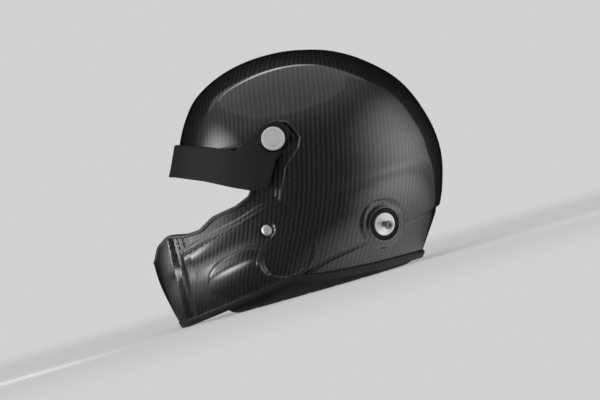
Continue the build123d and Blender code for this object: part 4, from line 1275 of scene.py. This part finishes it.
liner = {
    "outer": 37.95 * mm, "inner": 45.3 * mm, "edge": 7 * mm, "outerThins": 1.0 * mm, "innerThins": 3.4 * mm,
    "channel": 1.5 * mm, "channels": 7, "channelWidth": 0.0012, "channelEnd": (11.5, 13.5),   # in half a turn
    "ear": (32.4 * mm, 38.4 * mm), "brow": (-10.1 * mm, 208 * mm), "browGap": 0.3 * mm,
    "columns": 260, "low": 0.030, "high": 0.2, "sideRows": 50, "crownRows": 35,
    "edgeLine": rounded([
        (-0.682, -0.228), (-0.682, 0.718), (-0.35, 0.706), (-0.231, 0.689), (-0.131, 0.674), (-0.08, 0.649),
        (-0.067, 0.585), (-0.065, 0.403), (-0.024, 0.403), (-0.024, 0.228), (0.107, 0.19), (0.178, 0.144),
        (0.682, 0.129), (0.682, -0.228),
    ], 7 * mm),
}


# a fabric layer inside the foam, thinner at its edges and along its sewn channels
def makeLiner(name, node, zone):
    turn = np.linspace(-np.pi, np.pi, liner["columns"], endpoint=False)
    lower = stepAt(np.linspace(liner["low"], liner["high"], liner["sideRows"]))
    upper = np.linspace(stepAt(liner["high"]), crownStep, liner["crownRows"])[1:]
    step = np.concatenate([lower, upper])[:, None] * np.ones(len(turn))

    def stays(t, s):
        points = formPoint(t, s, liner["outer"])
        x, z = points[..., 0], points[..., 2]
        (earX, earZ), (halfX, halfZ) = earCushion["at"], liner["ear"]
        ear = (np.hypot((x - earX) / halfX, (z - earZ) / halfZ) - 1) * halfX
        return np.minimum(np.minimum(-insideBy(x, z, liner["edgeLine"]), ear), zone(x, z))

    def inside(t, s):
        edge = 1 - smooth(stays(t, s), 0, liner["edge"])
        sewn = sewnLines(t * liner["channels"] / np.pi, liner["channelWidth"])
        pressed = liner["channel"] * sewn * (1 - smooth(s, *liner["channelEnd"]))
        return formPoint(t, s, liner["inner"] - liner["innerThins"] * edge - pressed * (1 - edge))

    def outside(t, s):
        edge = 1 - smooth(stays(t, s), 0, liner["edge"])
        return formPoint(t, s, liner["outer"] + liner["outerThins"] * edge)

    skin(name, np.broadcast_to(turn, step.shape), step, stays, outside, inside, [], True, "helmet",
         "liner_fabric", paints["liner"], node, 0.6)


browX, browZ = liner["brow"]
makeLiner("crownLiner", "crown_liner",
          lambda x, z: np.maximum(x - browX - liner["browGap"], browZ - z - liner["browGap"]))
makeLiner("browPad", "brow_pad", lambda x, z: np.minimum(browX - x, z - browZ))
print("liner ready")

strap = {
    "x": rivet[0], "width": 25 * mm, "thickness": 2 * mm, "bend": 12 * mm, "face": 100 * mm, "tab": 2 * mm,
    "overlap": 12 * mm, "straight": 22 * mm, "knee": (0.352, 0.129), "foot": (0.208, 0.0323),
    "bendSteps": 10, "spacing": 1.6 * mm,
}


# the webbing's middle line seen from the front, with its corners rounded
def webbingLine():
    y = strap["tab"] + strap["thickness"] / 2 - strap["face"]
    z = rivet[1] - strap["overlap"] + strap["thickness"]
    left = [(y, z), (y, z - strap["straight"] / 2)]
    left += [(-strap[key][0] * form["width"], strap[key][1] * form["height"]) for key in ("knee", "foot")]
    corners = np.array(left + [(-y, z) for y, z in left[::-1]])
    threes = zip(corners, corners[1:], corners[2:])
    bends = [roundedCorner(*three, strap["bend"], strap["bendSteps"]) for three in threes]
    line = np.concatenate([corners[:1], *bends, corners[-1:]])
    return evenPoints(line, spacing=strap["spacing"], endpoint=True)


# flat webbing with a sewn line along each edge
def makeStrap():
    line = webbingLine()
    path = np.stack([np.full(len(line), strap["x"]), line[:, 0], line[:, 1]], -1)
    out = np.tile([1.0, 0, 0], (len(path), 1))
    up = np.cross(out, unit(np.gradient(path, axis=0)))
    w, t = strap["width"] / 2, strap["thickness"] / 2
    section = [
        (-w, -0.5 * t), (-w + 0.7 * t, -t), (-0.88 * w, -t), (-0.85 * w, -0.8 * t), (-0.82 * w, -t),
        (0.82 * w, -t), (0.85 * w, -0.8 * t), (0.88 * w, -t), (w - 0.7 * t, -t), (w, -0.5 * t),
    ]
    section = np.array(section + [(x, -y) for x, y in section[::-1]])
    carried("chinStrap", path, out, up, section, False, "strap", "webbing", paints["webbing"], "chin_strap")


strapPad = {
    "length": 90 * mm, "width": 31 * mm, "thickness": 8 * mm, "rows": 61, "columns": 56,
    "endSize": 0.72, "taper": 1.6, "endFrom": 0.94, "endLeast": 0.12, "squareness": (0.55, 0.75),
}


# a soft sleeve under the chin: a rounded oblong section, full in the middle, slimmer and closed at its ends
def makeStrapPad():
    rows, columns, ends = strapPad["rows"], strapPad["columns"], strapPad["endFrom"]
    along = np.linspace(-1, 1, rows)
    size = 1 - (1 - strapPad["endSize"]) * abs(along) ** strapPad["taper"]
    closing = 1 - np.clip((abs(along) - ends) / (1 - ends), 0, 1) ** 2
    closing = np.sqrt(np.clip(closing, strapPad["endLeast"], 1))
    angle = np.linspace(0, 2 * np.pi, columns, endpoint=False)
    powerWide, powerThick = strapPad["squareness"]
    wideSize, thickSize = (1 + size) / 2 * (0.75 + 0.25 * closing), size * closing
    wide = strapPad["width"] / 2 * wideSize[:, None] * squared(np.cos(angle), powerWide)
    thick = strapPad["thickness"] / 2 * thickSize[:, None] * squared(np.sin(angle), powerThick)
    y = along[:, None] * strapPad["length"] / 2 + 0 * wide
    points = np.stack([strap["x"] + wide, y, strap["foot"][1] * form["height"] + thick], -1)
    faces = gridFaces(rows, columns, True).tolist() + endCaps(rows, columns)
    addPiece("strapPad", points, faces, "strap", "pad_fabric", paints["pad"], "strap_pad", 0.7)


makeStrap()
makeStrapPad()

windscreen = {
    "at": np.array([-0.1214, -0.0041, 0.058]), "axis": (-0.638, 0.746, 0.187), "radius": 9.5 * mm,
    "ends": 2.66, "rows": 40, "columns": 64, "rim": (0.9, 0.6 * mm),   # the rim's size and its drop
}


# a ball of foam, cut off and closed where it meets the capsule
def makeWindscreen():
    angle = np.linspace(0, windscreen["ends"], windscreen["rows"])
    profile = windscreen["radius"] * np.stack([np.sin(angle), np.cos(angle)], -1)
    size, drop = windscreen["rim"]
    radius, low = profile[-1, 0] * size, profile[-1, 1] - drop
    lathe("windscreen", np.concatenate([profile, [[radius, low], [0, low]]]), windscreen["at"],
          windscreen["axis"], windscreen["columns"], False, "microphone", "windscreen_foam",
          paints["windscreen"], "mic_windscreen")


makeWindscreen()
print("strap, its pad and the windscreen ready")

# what keeps its solid gets its finish here
kept = {
    "peak_washers": "nylon", "peak_inserts": "brass", "anchor_nuts": "steel", "foam_liner": "beadFoam",
    "chin_foam": "beadFoam", "cheek_foam_left": "beadFoam", "cheek_foam_right": "beadFoam",
    "ear_cup_left": "hardPlastic", "ear_cup_right": "hardPlastic", "speakers": "hardPlastic",
    "strap_tabs": "steel", "d_rings": "steel", "mic_bracket": "hardPlastic", "mic_pin": "steel",
    "mic_boom": "boom", "mic_capsule": "hardPlastic",
}
for node, paint in kept.items():
    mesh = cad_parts[node].data
    mesh.materials.clear()
    mesh.materials.append(paints[paint])
    print(node, "painted", paint)
